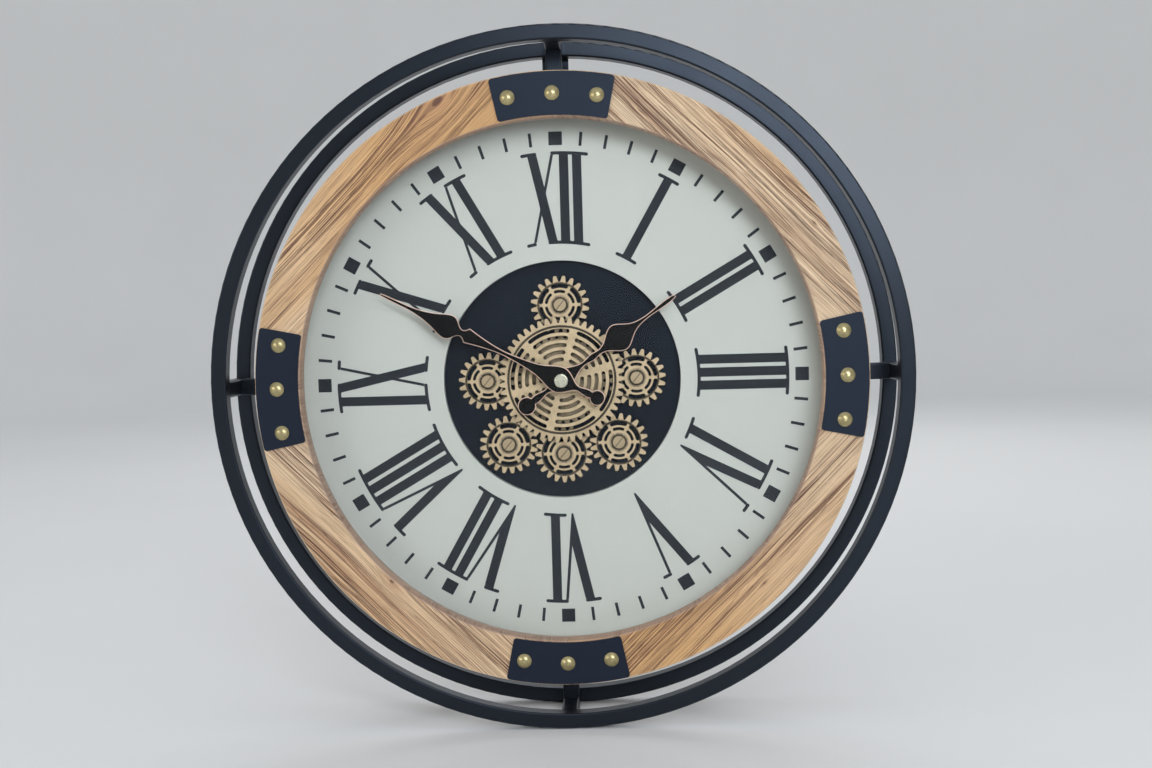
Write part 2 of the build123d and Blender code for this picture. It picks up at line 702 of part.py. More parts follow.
def keep_sun_and_centre_gear():
    """Sun gear that drives the small gears, and the large slotted gear in front of it."""
    with BuildPart() as sun:
        with BuildSketch(face_plane(SMALL_BACK)):
            draw_gear(SUN_TEETH, SUN_PHASE)
            Circle(SLEEVE_RADIUS + PUSH_FIT, mode=Mode.SUBTRACT)
        extrude(amount=GEAR_THICKNESS)
    keep(sun, "sun_gear")

    arcs = []
    for row in range(CENTRE_SLOT_ROWS):
        share = row / (CENTRE_SLOT_ROWS - 1)
        bridge = CENTRE_BRIDGE_INNER + share * (CENTRE_BRIDGE_OUTER - CENTRE_BRIDGE_INNER)
        radius = CENTRE_ROOT_RADIUS - CENTRE_SLOT_INSET - (CENTRE_SLOT_ROWS - 1 - row) * CENTRE_SLOT_PITCH
        arcs.append(slot_arc(radius, CENTRE_SLOT_WIDTH, bridge, CENTRE_SLOT_COUNT))
    groove_radius = CENTRE_ROOT_RADIUS - CENTRE_GROOVE_INSET
    with BuildPart() as centre:
        with BuildSketch(face_plane(CENTRE_BACK)):
            draw_teeth(
                CENTRE_TEETH,
                CENTRE_ROOT_RADIUS,
                CENTRE_ROOT_RADIUS + CENTRE_TOOTH_HEIGHT,
                TOOTH_TIP * GEAR_MODULE,
                TOOTH_BASE * GEAR_MODULE,
                TOOTH_ROUND * GEAR_MODULE,
                0.0,
            )
            Circle(SLEEVE_RADIUS + PUSH_FIT, mode=Mode.SUBTRACT)
            for arc in arcs:
                cut_slot_row(arc, CENTRE_SLOT_WIDTH, CENTRE_SLOT_COUNT, CENTRE_SLOT_START_ANGLE)
        extrude(amount=GEAR_THICKNESS)
        with BuildSketch(face_plane(SLEEVE_FRONT)):
            Circle(groove_radius + CENTRE_GROOVE_WIDTH / 2)
            Circle(groove_radius - CENTRE_GROOVE_WIDTH / 2, mode=Mode.SUBTRACT)
        extrude(amount=-CENTRE_GROOVE_DEPTH, mode=Mode.SUBTRACT)
    keep(centre, "centre_gear")


def keep_tube(name, back, front, outer_radius, inner_radius):
    """Plain tube or washer on the dial axis."""
    with BuildPart() as tube:
        with BuildSketch(face_plane(back)):
            Circle(outer_radius)
            Circle(inner_radius, mode=Mode.SUBTRACT)
        extrude(amount=front - back)
    keep(tube, name)


def keep_centre_shafts():
    """Bush with its nut, sleeve of the gears and the ring that retains the sleeve."""
    bush_seat = SHELL_BACK - MOVEMENT_WALL
    bush_front = RETAINER_BACK + RETAINER_THICKNESS + BUSH_STUB
    with BuildPart() as bush:
        with BuildSketch(face_plane(bush_seat)):
            Circle(BUSH_RADIUS)
        extrude(amount=bush_front - bush_seat)
        with BuildSketch(face_plane(bush_seat)):
            Circle(BUSH_RADIUS + BUSH_FLANGE)
        extrude(amount=-BUSH_FLANGE_THICKNESS)
        with BuildSketch(face_plane(bush_front)):
            Circle(PIPE_RADIUS + RUNNING_FIT)
        extrude(amount=-(bush_front - bush_seat + BUSH_FLANGE_THICKNESS), mode=Mode.SUBTRACT)
    keep(bush, "centre_bush")

    with BuildPart() as nut:
        with BuildSketch(face_plane(NUT_BACK)):
            RegularPolygon(BUSH_RADIUS + BUSH_NUT_RIM, 6)
            Circle(BUSH_RADIUS + PUSH_FIT, mode=Mode.SUBTRACT)
        extrude(amount=BUSH_NUT_HEIGHT)
    keep(nut, "bush_nut")

    keep_tube("gear_sleeve", SLEEVE_BACK, SLEEVE_FRONT, SLEEVE_RADIUS, BUSH_RADIUS + RUNNING_FIT)
    keep_tube(
        "retaining_ring",
        RETAINER_BACK,
        RETAINER_BACK + RETAINER_THICKNESS,
        BUSH_RADIUS + RETAINER_RIM,
        BUSH_RADIUS + PUSH_FIT,
    )


def keep_drive():
    """Drive wheel on the sleeve, motor with its pinion, and the shell around them."""
    drive_back = SLEEVE_BACK + AXIAL_PLAY
    motor_x, motor_y = polar(MOTOR_DISTANCE, MOTOR_DIRECTION)
    pinion_phase = mesh_phase(DRIVE_TEETH, 0.0, PINION_TEETH, MOTOR_DIRECTION)
    with BuildPart() as wheel:
        with BuildSketch(face_plane(drive_back)):
            draw_fine_teeth(DRIVE_TEETH, DRIVE_MODULE, 0.0)
            Circle(SLEEVE_RADIUS + PUSH_FIT, mode=Mode.SUBTRACT)
        extrude(amount=DRIVE_THICKNESS)
    keep(wheel, "drive_wheel")

    with BuildPart() as pinion:
        with BuildSketch(face_plane(drive_back, motor_x, motor_y)):
            draw_fine_teeth(PINION_TEETH, DRIVE_MODULE, pinion_phase)
        extrude(amount=DRIVE_THICKNESS)
        with BuildSketch(face_plane(drive_back, motor_x, motor_y)):
            Circle(MOTOR_SHAFT_RADIUS)
        extrude(amount=SHELL_BACK - MOTOR_SHAFT_BITE - drive_back)
    keep(pinion, "motor_pinion")

    with BuildPart() as motor:
        with BuildSketch(face_plane(SHELL_BACK, motor_x, motor_y)):
            Circle(MOTOR_RADIUS)
        extrude(amount=-MOTOR_LENGTH)
        fillet(motor.faces().sort_by(Axis.Y)[-1].edges(), BAR_EDGE)
        with BuildSketch(face_plane(SHELL_BACK, motor_x, motor_y)):
            Circle(MOTOR_SHAFT_RADIUS + RUNNING_FIT)
        extrude(amount=-MOTOR_SHAFT_BITE - AXIAL_PLAY, mode=Mode.SUBTRACT)
    keep(motor, "gear_motor")

    with BuildPart() as shell:
        with BuildSketch(face_plane(SHELL_BACK)):
            Circle(SHELL_RADIUS)
        extrude(amount=SHELL_DEPTH)
        with BuildSketch(face_plane(SHELL_BACK + SHELL_WALL)):
            Circle(SHELL_RADIUS - SHELL_WALL)
            with Locations(*shell_screw_points()):
                Circle(BOSS_RADIUS, mode=Mode.SUBTRACT)
        extrude(amount=SHELL_DEPTH, mode=Mode.SUBTRACT)
        with BuildSketch(face_plane(SHELL_BACK)):
            Circle(BUSH_RADIUS + PUSH_FIT)
            with Locations((motor_x, motor_y)):
                Circle(MOTOR_SHAFT_RADIUS + AXIAL_PLAY)
            with Locations(*shell_screw_points()):
                Circle(SCREW_RADIUS + SCREW_FIT)
        extrude(amount=SHELL_DEPTH, mode=Mode.SUBTRACT)
    keep(shell, "gearbox_shell")


def shell_screw_points():
    """Places of the screws that hold the gearbox shell to the gear plate."""
    return [polar(SHELL_SCREW_RADIUS, angle) for angle in CORNER_SCREW_ANGLES]


def keep_cells(name, depth, heights):
    """Round cells that lie across the clock, centred at a depth and at heights from the axis."""
    with BuildPart() as cells:
        for height in heights:
            with BuildSketch(Plane(origin=(-CELL_LENGTH / 2, -depth, AXIS_Z + height), z_dir=(1, 0, 0))):
                Circle(CELL_RADIUS)
            extrude(amount=CELL_LENGTH - CELL_NUB)
            with BuildSketch(Plane(origin=(CELL_LENGTH / 2, -depth, AXIS_Z + height), z_dir=(1, 0, 0))):
                Circle(CELL_NUB_RADIUS)
            extrude(amount=-CELL_NUB)
    keep(cells, name)


def keep_movement():
    """Quartz movement: case, cover, cell, coil, circuit board, motion work and setting knob."""
    cover_front = MOVEMENT_BACK + MOVEMENT_WALL
    case_inner = SHELL_BACK - MOVEMENT_WALL
    knob_front = MOVEMENT_BACK - KNOB_GAP
    centre_y = MOVEMENT_TOP - MOVEMENT_WIDTH / 2
    inner_width = MOVEMENT_WIDTH - 2 * MOVEMENT_WALL
    cell_y = MOVEMENT_TOP - MOVEMENT_WIDTH + MOVEMENT_WALL + CELL_GAP + CELL_RADIUS
    rail_y = cell_y + CELL_RADIUS + CELL_GAP
    cannon_back = cover_front + BOSS_WALL + AXIAL_PLAY
    hour_back = cannon_back + MOTION_THICKNESS + MOTION_GAP
    arbor_distance = MOTION_MODULE * (CANNON_TEETH + MOTION_TEETH) / 2
    arbor_x = -arbor_distance
    boss_radius = MOTION_ARBOR_RADIUS + BOSS_WALL
    boss_back = hour_back + MOTION_THICKNESS + AXIAL_PLAY

    with BuildPart() as case:
        with BuildSketch(face_plane(cover_front, 0.0, centre_y)):
            RectangleRounded(MOVEMENT_WIDTH, MOVEMENT_WIDTH, MOVEMENT_WALL)
        extrude(amount=SHELL_BACK - cover_front)
        with BuildSketch(face_plane(cover_front, 0.0, centre_y)):
            Rectangle(inner_width, inner_width)
            with Locations((0, rail_y - centre_y)):
                Rectangle(inner_width, MOVEMENT_WALL, align=(Align.CENTER, Align.MIN), mode=Mode.SUBTRACT)
        extrude(amount=case_inner - cover_front, mode=Mode.SUBTRACT)
        with BuildSketch(face_plane(boss_back, arbor_x)):
            Circle(boss_radius)
        extrude(amount=case_inner - boss_back)
        with BuildSketch(face_plane(boss_back, arbor_x)):
            Circle(MOTION_ARBOR_RADIUS + RUNNING_FIT)
        extrude(amount=case_inner - boss_back, mode=Mode.SUBTRACT)
        with BuildSketch(face_plane(case_inner)):
            Circle(BUSH_RADIUS + PUSH_FIT)
        extrude(amount=MOVEMENT_WALL, mode=Mode.SUBTRACT)
    keep(case, "movement_case")

    with BuildPart() as cover:
        with BuildSketch(face_plane(MOVEMENT_BACK, 0.0, centre_y)):
            RectangleRounded(MOVEMENT_WIDTH, MOVEMENT_WIDTH, MOVEMENT_WALL)
        extrude(amount=MOVEMENT_WALL)
        with BuildSketch(face_plane(cover_front)):
            Circle(ARBOR_RADIUS + BOSS_WALL)
            Circle(ARBOR_RADIUS + RUNNING_FIT, mode=Mode.SUBTRACT)
        extrude(amount=BOSS_WALL)
        with BuildSketch(face_plane(MOVEMENT_BACK, arbor_x)):
            Circle(MOTION_ARBOR_RADIUS + RUNNING_FIT)
        extrude(amount=MOVEMENT_WALL, mode=Mode.SUBTRACT)
    keep(cover, "movement_cover")

    with BuildPart() as arbor:
        with BuildSketch(face_plane(cover_front + AXIAL_PLAY)):
            Circle(ARBOR_RADIUS)
        extrude(amount=HAND_FRONT + HAND_NUT_SEAT - cover_front - AXIAL_PLAY)
        with BuildSketch(face_plane(cannon_back)):
            draw_fine_teeth(CANNON_TEETH, MOTION_MODULE, 0.0)
        extrude(amount=MOTION_THICKNESS)
    keep(arbor, "minute_arbor")

    motion_phase = mesh_phase(CANNON_TEETH, 0.0, MOTION_TEETH, 180.0)
    with BuildPart() as motion:
        with BuildSketch(face_plane(cannon_back, arbor_x)):
            draw_fine_teeth(MOTION_TEETH, MOTION_MODULE, motion_phase)
        extrude(amount=MOTION_THICKNESS)
        with BuildSketch(face_plane(cannon_back + MOTION_THICKNESS, arbor_x)):
            draw_fine_teeth(MOTION_PINION_TEETH, MOTION_MODULE, 0.0)
        extrude(amount=MOTION_GAP + MOTION_THICKNESS)
        with BuildSketch(face_plane(knob_front - KNOB_SEAT, arbor_x)):
            Circle(MOTION_ARBOR_RADIUS)
        extrude(amount=case_inner - AXIAL_PLAY - knob_front + KNOB_SEAT)
    keep(motion, "motion_wheel")

    with BuildPart() as knob:
        with BuildSketch(face_plane(knob_front, arbor_x)):
            draw_fine_teeth(KNOB_TEETH, 2 * KNOB_RADIUS / KNOB_TEETH, 0.0)
        extrude(amount=-KNOB_HEIGHT)
        with BuildSketch(face_plane(knob_front, arbor_x)):
            Circle(MOTION_ARBOR_RADIUS + PUSH_FIT)
        extrude(amount=-KNOB_SEAT, mode=Mode.SUBTRACT)
    keep(knob, "setting_knob")

    with BuildPart() as hour:
        with BuildSketch(face_plane(hour_back)):
            draw_fine_teeth(
                HOUR_WHEEL_TEETH,
                MOTION_MODULE,
                mesh_phase(MOTION_PINION_TEETH, 0.0, HOUR_WHEEL_TEETH, 0.0),
            )
        extrude(amount=MOTION_THICKNESS)
        with BuildSketch(face_plane(hour_back)):
            Circle(PIPE_RADIUS)
        extrude(amount=HOUR_BACK + HAND_THICKNESS - hour_back)
        with BuildSketch(face_plane(hour_back)):
            Circle(ARBOR_RADIUS + RUNNING_FIT)
        extrude(amount=HOUR_BACK + HAND_THICKNESS - hour_back, mode=Mode.SUBTRACT)
    keep(hour, "hour_wheel")

    keep_cells("clock_cell", case_inner - CELL_GAP - CELL_RADIUS, [cell_y])

    coil_x = inner_width / 2 - COIL_LENGTH / 2 - CELL_GAP
    coil_y = MOVEMENT_TOP - MOVEMENT_WALL - CELL_GAP - COIL_RADIUS - COIL_FLANGE
    flange = 2 * (COIL_RADIUS + COIL_FLANGE)
    coil_depth = case_inner - flange / 2
    with BuildPart() as coil:
        coil_plane = Plane(origin=(coil_x - COIL_LENGTH / 2, -coil_depth, AXIS_Z + coil_y), z_dir=(1, 0, 0))
        with BuildSketch(coil_plane):
            Circle(COIL_RADIUS)
        extrude(amount=COIL_LENGTH)
        for shift in (0.0, COIL_LENGTH - COIL_FLANGE):
            with BuildSketch(coil_plane.offset(shift)):
                Rectangle(flange, flange)
            extrude(amount=COIL_FLANGE)
    keep(coil, "motor_coil")

    with BuildPart() as board:
        with BuildSketch(face_plane(case_inner, coil_x, coil_y - flange / 2 - CELL_GAP)):
            Rectangle(BOARD_WIDTH, BOARD_HEIGHT, align=(Align.CENTER, Align.MAX))
        extrude(amount=-BOARD_THICKNESS)
    keep(board, "circuit_board")


def keep_battery_box():
    """Battery box on the back of the gearbox shell, with two cells and a sliding door."""
    top = MOVEMENT_TOP - MOVEMENT_WIDTH - BOX_GAP
    inner_length = CELL_LENGTH + 2 * BOX_END_GAP
    inner_height = 4 * CELL_RADIUS + 3 * CELL_GAP
    outer_length = inner_length + 2 * BOX_WALL
    outer_height = inner_height + 2 * BOX_WALL
    centre_y = top - outer_height / 2
    floor = SHELL_BACK - BOX_WALL
    door_front = floor - 2 * CELL_RADIUS - 2 * CELL_GAP
    door_back = door_front - DOOR_THICKNESS
    box_back = door_back - DOOR_FIT - BOX_WALL
    door_length = inner_length + BOX_WALL - DOOR_FIT
    groove_height = inner_height + 2 * DOOR_GROOVE
    door_left = -inner_length / 2 + DOOR_FIT

    with BuildPart() as box:
        with BuildSketch(face_plane(box_back, 0.0, centre_y)):
            Rectangle(outer_length, outer_height)
        extrude(amount=SHELL_BACK - box_back)
        with BuildSketch(face_plane(box_back, 0.0, centre_y)):
            Rectangle(inner_length, inner_height)
        extrude(amount=floor - box_back, mode=Mode.SUBTRACT)
        with BuildSketch(face_plane(door_back - DOOR_FIT, -inner_length / 2, centre_y)):
            Rectangle(outer_length, groove_height, align=(Align.MIN, Align.CENTER))
        extrude(amount=DOOR_THICKNESS + 2 * DOOR_FIT, mode=Mode.SUBTRACT)
        with BuildSketch(face_plane(box_back, 0.0, centre_y)):
            Rectangle(outer_length, inner_height, align=(Align.MIN, Align.CENTER))
        extrude(amount=door_back - box_back, mode=Mode.SUBTRACT)
    keep(box, "battery_box")

    with BuildPart() as door:
        with BuildSketch(face_plane(door_back, door_left, centre_y)):
            Rectangle(door_length, groove_height - 2 * DOOR_FIT, align=(Align.MIN, Align.CENTER))
        extrude(amount=DOOR_THICKNESS)
    keep(door, "battery_door")

    first = centre_y + CELL_RADIUS + CELL_GAP / 2
    second = centre_y - CELL_RADIUS - CELL_GAP / 2
    keep_cells("gear_cells", floor - CELL_GAP - CELL_RADIUS, [first, second])


def keep_hand(name, back, angle, bore, length, tail, tail_disc, form):
    """Flat hand along a clock angle, from a form of smooth half outlines."""
    with BuildPart() as hand:
        with BuildSketch(face_plane(back, turn=90.0 - angle)):
            for section in form:
                points = [(share * (length if share > 0 else tail), half) for share, half in section]
                with BuildLine():
                    edge = Spline(*points)
                    Polyline(edge @ 0, (points[0][0], 0), (points[-1][0], 0), edge @ 1)
                make_face()
            mirror(about=Plane.XZ)
            with Locations((-tail, 0)):
                Circle(tail_disc)
            Circle(bore + PUSH_FIT, mode=Mode.SUBTRACT)
        extrude(amount=HAND_THICKNESS)
        rim = hand.faces().sort_by(Axis.Y)[0].outer_wire().edges()
        chamfer(rim, HAND_BEVEL)
    keep(hand, name)


def keep_hands():
    """Spade hands with round tails, and the nut that holds them."""
    minute_angle = 360 * MINUTE_SHOWN / 60
    hour_angle = 360 * (HOUR_SHOWN + MINUTE_SHOWN / 60) / 12
    keep_hand(
        "minute_hand",
        MINUTE_BACK,
        minute_angle,
        ARBOR_RADIUS,
        MINUTE_LENGTH,
        MINUTE_TAIL,
        MINUTE_TAIL_DISC,
        MINUTE_FORM,
    )
    keep_hand(
        "hour_hand",
        HOUR_BACK,
        hour_angle,
        PIPE_RADIUS,
        HOUR_LENGTH,
        HOUR_TAIL,
        HOUR_TAIL_DISC,
        HOUR_FORM,
    )

    with BuildPart() as nut:
        with BuildSketch(face_plane(HAND_FRONT)):
            Circle(HAND_NUT_RADIUS)
        extrude(amount=HAND_NUT_HEIGHT)
        fillet(nut.faces().sort_by(Axis.Y)[0].edges(), HAND_NUT_EDGE)
        with BuildSketch(face_plane(HAND_FRONT)):
            Circle(ARBOR_RADIUS + PUSH_FIT)
        extrude(amount=HAND_NUT_SEAT, mode=Mode.SUBTRACT)
    keep(nut, "hand_nut")


keep_rings()
keep_struts_and_spokes()
keep_hanger()
keep_bezel()
keep_straps()
keep_studs()
keep_glass_and_case()
keep_dial()
keep_screws("case_screws", [(case_screw_points(), DIAL_BACK, WOOD_BACK + CASE_SCREW_BITE)])
keep_screws("spoke_screws", [(spoke_screw_points(), SPOKE_BACK, DIAL_BACK + PLATE_SCREW_BITE)])
keep_screws(
    "gearbox_screws",
    [
        (plate_screw_points(), PLATE_BACK, DIAL_BACK + PLATE_SCREW_BITE),
        (shell_screw_points(), SHELL_BACK, PLATE_BACK + GEAR_PLATE_THICKNESS / 2),
    ],
)
keep_gear_plate()
keep_posts_and_caps()
keep_small_gears()
keep_sun_and_centre_gear()
keep_centre_shafts()
keep_drive()
keep_movement()
keep_battery_box()
keep_hands()
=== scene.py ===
"""Studio scene of the round wall clock: finishes, the printed dial, light and camera."""

import math

import bmesh
import bpy
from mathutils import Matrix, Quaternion, Vector


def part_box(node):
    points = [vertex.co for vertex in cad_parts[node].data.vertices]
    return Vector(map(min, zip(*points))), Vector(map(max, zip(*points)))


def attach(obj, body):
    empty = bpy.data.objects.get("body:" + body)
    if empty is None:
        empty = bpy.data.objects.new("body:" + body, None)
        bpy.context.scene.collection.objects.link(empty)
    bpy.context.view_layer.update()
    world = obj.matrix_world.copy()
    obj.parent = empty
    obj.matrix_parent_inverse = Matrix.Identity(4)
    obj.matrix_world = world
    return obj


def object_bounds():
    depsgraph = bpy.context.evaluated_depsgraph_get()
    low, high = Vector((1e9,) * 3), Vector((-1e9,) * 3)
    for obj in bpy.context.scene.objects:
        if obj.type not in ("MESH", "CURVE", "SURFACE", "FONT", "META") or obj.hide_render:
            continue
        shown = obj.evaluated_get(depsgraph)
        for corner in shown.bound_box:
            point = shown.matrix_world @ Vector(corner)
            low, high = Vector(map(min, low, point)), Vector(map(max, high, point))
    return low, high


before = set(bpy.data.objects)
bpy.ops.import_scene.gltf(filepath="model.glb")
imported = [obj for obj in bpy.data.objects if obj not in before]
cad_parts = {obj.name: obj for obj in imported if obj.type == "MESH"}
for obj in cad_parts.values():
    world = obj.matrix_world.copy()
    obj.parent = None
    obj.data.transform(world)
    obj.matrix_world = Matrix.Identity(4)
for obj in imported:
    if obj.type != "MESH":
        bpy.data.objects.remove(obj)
cad_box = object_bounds()

# Sizes in metres: the dial, and the marks and numerals printed on it
AXIS_Z = -0.205
DIAL_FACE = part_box("dial_board")[0][1]
DIAL_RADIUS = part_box("dial_board")[1][0]
PRINT_THICKNESS = 0.0001
MARK_RADIUS = 0.1608
MARK_COUNT = 60
MARKS_PER_HOUR = 5
SQUARE_SIZE = 0.009
TICK_LENGTH = 0.0092
TICK_WIDTH = 0.002
NUMERAL_INNER = 0.091
NUMERAL_OUTER = 0.1523
STEM = 0.0062
HAIRLINE = 0.0019
SERIF = 0.0022
SERIF_REACH = 0.0036
CROSS_TOP = 0.0066
CROSS_FOOT = 0.0059
VEE_TOP = 0.0078
VEE_TIP = 0.0006
LETTER_STEPS = {"II": 0.0087, "XI": 0.0144, "VI": 0.0145, "IV": 0.0192, "IX": 0.016}
VEE_LEAN = {"IV": -0.006, "V": 0.0, "VI": 0.0029, "VII": 0.0029, "VIII": 0.0029}
NUMERALS = ("XII", "I", "II", "III", "IV", "V", "VI", "VII", "VIII", "IX", "X", "XI")
NUMERAL_SHIFTS = (
    -0.001,
    -0.001,
    -0.0015,
    -0.0025,
    0.001,
    -0.0015,
    -0.004,
    -0.008,
    -0.0075,
    0.0,
    -0.002,
    -0.0015,
)
BAR_STEPS = 8
CAP_STEPS = 6

# Bezel: its edges, a knot, half the run of warmth along a board, and the strips at the edges, the outer
# strip a painted highlight
BEZEL_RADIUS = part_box("bezel_upper_right")[1][0]
BEZEL_INNER = 0.171
KNOT_LENGTH = 0.03
KNOT_WIDTH = 0.014
WARM_REACH = 0.08
EDGE_HIGHLIGHT_WIDTH = 0.0016
LIP_WIDTH = 0.0012

# Boards of the bezel: turn of the grain in degrees, shift of the pattern, the knot's x, height and
# scale, warmth, how the warmth grows along the board, and boldness of the lines
BOARDS = {
    "upper_right": (-45.0, (0.11, 0.0, 0.37), (0.166, -0.107, 0.12), 0.05, 0.0, 1.15),
    "upper_left": (45.0, (0.52, 0.0, 0.83), (-0.074, -0.022, 1.0), 0.5, 0.6, 1.1),
    "lower_left": (-45.0, (0.93, 0.0, 0.262), (-0.115, -0.334, 0.4), 0.0, 0.0, 1.6),
    "lower_right": (45.0, (1.34, 0.0, 0.64), (0.13, -0.34, 0.12), 0.6, -0.8, 1.35),
}

# Colours of the wood
WOOD_STRAW = (0.84, 0.64, 0.43)
WOOD_HONEY = (0.71, 0.42, 0.19)
WOOD_BROWN = (0.44, 0.23, 0.12)
WOOD_DARK = (0.13, 0.06, 0.042)
WOOD_LIP = (0.5, 0.34, 0.26)

# Colours of the gears, the last one a dark wash that is partly painted shade, and depths below the face
# where the wash and painted shade of grooves and slots begins and is full
GEAR_GOLD = (0.51, 0.385, 0.235)
GEAR_GOLD_WORN = (0.36, 0.262, 0.148)
GEAR_SPECK = (0.3, 0.2, 0.1)
GEAR_DULL = (0.3, 0.225, 0.13)
GEAR_WASH_AND_SHADE = (0.02, 0.015, 0.01)
GROOVE_START = 0.0002
GROOVE_END = 0.0006
SLOT_START = 0.0008
SLOT_END = 0.0016

# Rings of dark wash and painted shade on the gears: inner radius, outer radius and strength
SMALL_GEAR_WASH_AND_SHADE = ((0.0042, 0.0056, 0.9), (0.0056, 0.0063, 0.55), (0.0138, 0.0152, 0.97))
CENTRE_GEAR_WASH_AND_SHADE = ((0.0352, 0.0366, 0.92),)
WASH_AND_SHADE_EDGE = 0.0003

# Blue cast of the sheen on black paint
SHEEN_TINT = (0.66, 0.79, 1.0)

# Colours of the dial, and where its brown rim begins and is full
DIAL_PAPER = (0.482, 0.486, 0.44)
DIAL_PAPER_SHADE = (0.456, 0.463, 0.42)
BOARD_BROWN = (0.27, 0.17, 0.1)
BOARD_FLECK = (0.34, 0.225, 0.135)
RIM_START = 0.0008
RIM_END = 0.0003

# Colours of the hands
HAND_BLACK = (0.0018, 0.0016, 0.002)
HAND_COPPER = (0.95, 0.68, 0.55)
HAND_COPPER_WORN = (0.75, 0.47, 0.36)

# Paint, metal, board, ink and plastic, each with the tone of its patches
BAR_PAINT = ((0.002, 0.0026, 0.004), (0.0036, 0.0046, 0.007))
STRAP_PAINT = ((0.008, 0.0115, 0.021), (0.013, 0.0175, 0.028))
PLATE_PAINT = ((0.004, 0.006, 0.0105), (0.007, 0.01, 0.015))
STUD_BRASS = ((0.47, 0.4, 0.21), (0.25, 0.2, 0.1))
TURNED_BRASS = ((0.66, 0.52, 0.22), (0.4, 0.29, 0.1))
ZINC_STEEL = ((0.55, 0.55, 0.53), (0.36, 0.35, 0.33))
NUT_NICKEL = ((0.7, 0.68, 0.54), (0.34, 0.33, 0.26))
MOTOR_CAN = ((0.5, 0.5, 0.49), (0.36, 0.36, 0.35))
CASE_BOARD = ((0.44, 0.36, 0.3), (0.36, 0.28, 0.22))
DIAL_INK = ((0.012, 0.0155, 0.021), (0.018, 0.0215, 0.027))
BLACK_PLASTIC = ((0.011, 0.011, 0.012), (0.022, 0.022, 0.023))
WHITE_PLASTIC = ((0.72, 0.71, 0.67), (0.6, 0.59, 0.54))
COIL_COPPER = ((0.2, 0.07, 0.03), (0.7, 0.3, 0.12))
CIRCUIT_GREEN = ((0.015, 0.13, 0.05), (0.05, 0.28, 0.1))
CELL_BLACK = ((0.012, 0.012, 0.014), (0.035, 0.035, 0.04))

# Band of a cell: its colour, and where along x it begins and is full
CELL_COPPER = (0.62, 0.33, 0.14)
CELL_BAND = (0.0112, 0.0116)

# Glass: its tint, the tint of the lamp light behind it and its index of refraction
GLASS_TINT = (0.985, 0.995, 0.99)
GLASS_SHADOW = (0.97, 0.98, 0.975)
GLASS_INDEX = 1.2

# Studio bowl: a floor of rings, at shares of the radius, that sweeps up into the backdrop
STUDIO_RADIUS = 4.0
STUDIO_HEIGHT = 2.5
STUDIO_SIDES = 64
STUDIO_PALE = ((0.78, 0.78, 0.77), (0.82, 0.82, 0.81))
FLOOR_GAP = 0.0005
FLOOR_SHARES = (0.1, 0.25, 0.5, 0.75)
SWEEP_RISE = 1.0
SWEEP_STEPS = 10

# Light: place, width and height, power, tint and roll in degrees of each lamp
LAMPS = {
    "key_light": ((0.41, -1.5, 0.32), (1.1, 0.46), 9.6, (0.86, 0.92, 1.0), -38.0),
    "fill_light": ((-2.1, -1.8, 0.3), (1.8, 0.9), 9.5, (1.0, 0.97, 0.93), 0.0),
    "rear_light": ((0.4, 1.6, 1.0), (1.2, 1.2), 6.5, (1.0, 1.0, 1.0), 0.0),
}
LAMP_TARGET = (0.0, -0.03, AXIS_Z)
SKY_TINT = (0.92, 0.95, 1.0)
SKY_STRENGTH = 0.75

# Photograph's camera, with its turn in degrees and its lens and sensor in millimetres
CAMERA_PLACE = (0.03796, -0.84817, -0.15831)
CAMERA_TURN = (86.484, 1.59, 1.92)
CAMERA_LENS = 37.78
CAMERA_SENSOR = 36.0
CAMERA_NEAR = 0.01


class Field:
    """A shader socket that takes part in Python arithmetic."""

    def __init__(self, finish, socket):
        self.finish = finish
        self.socket = socket

    def math(self, operation, first, second):
        """Add a Math node for two values."""
        return self.finish.node("ShaderNodeMath", {"operation": operation}, {0: first, 1: second})

    def __add__(self, other):
        return self.math("ADD", self, other)

    def __sub__(self, other):
        return self.math("SUBTRACT", self, other)

    def __mul__(self, other):
        return self.math("MULTIPLY", self, other)

    def __truediv__(self, other):
        return self.math("DIVIDE", self, other)

    def __rsub__(self, other):
        return self.math("SUBTRACT", other, self)

    __radd__ = __add__
    __rmul__ = __mul__


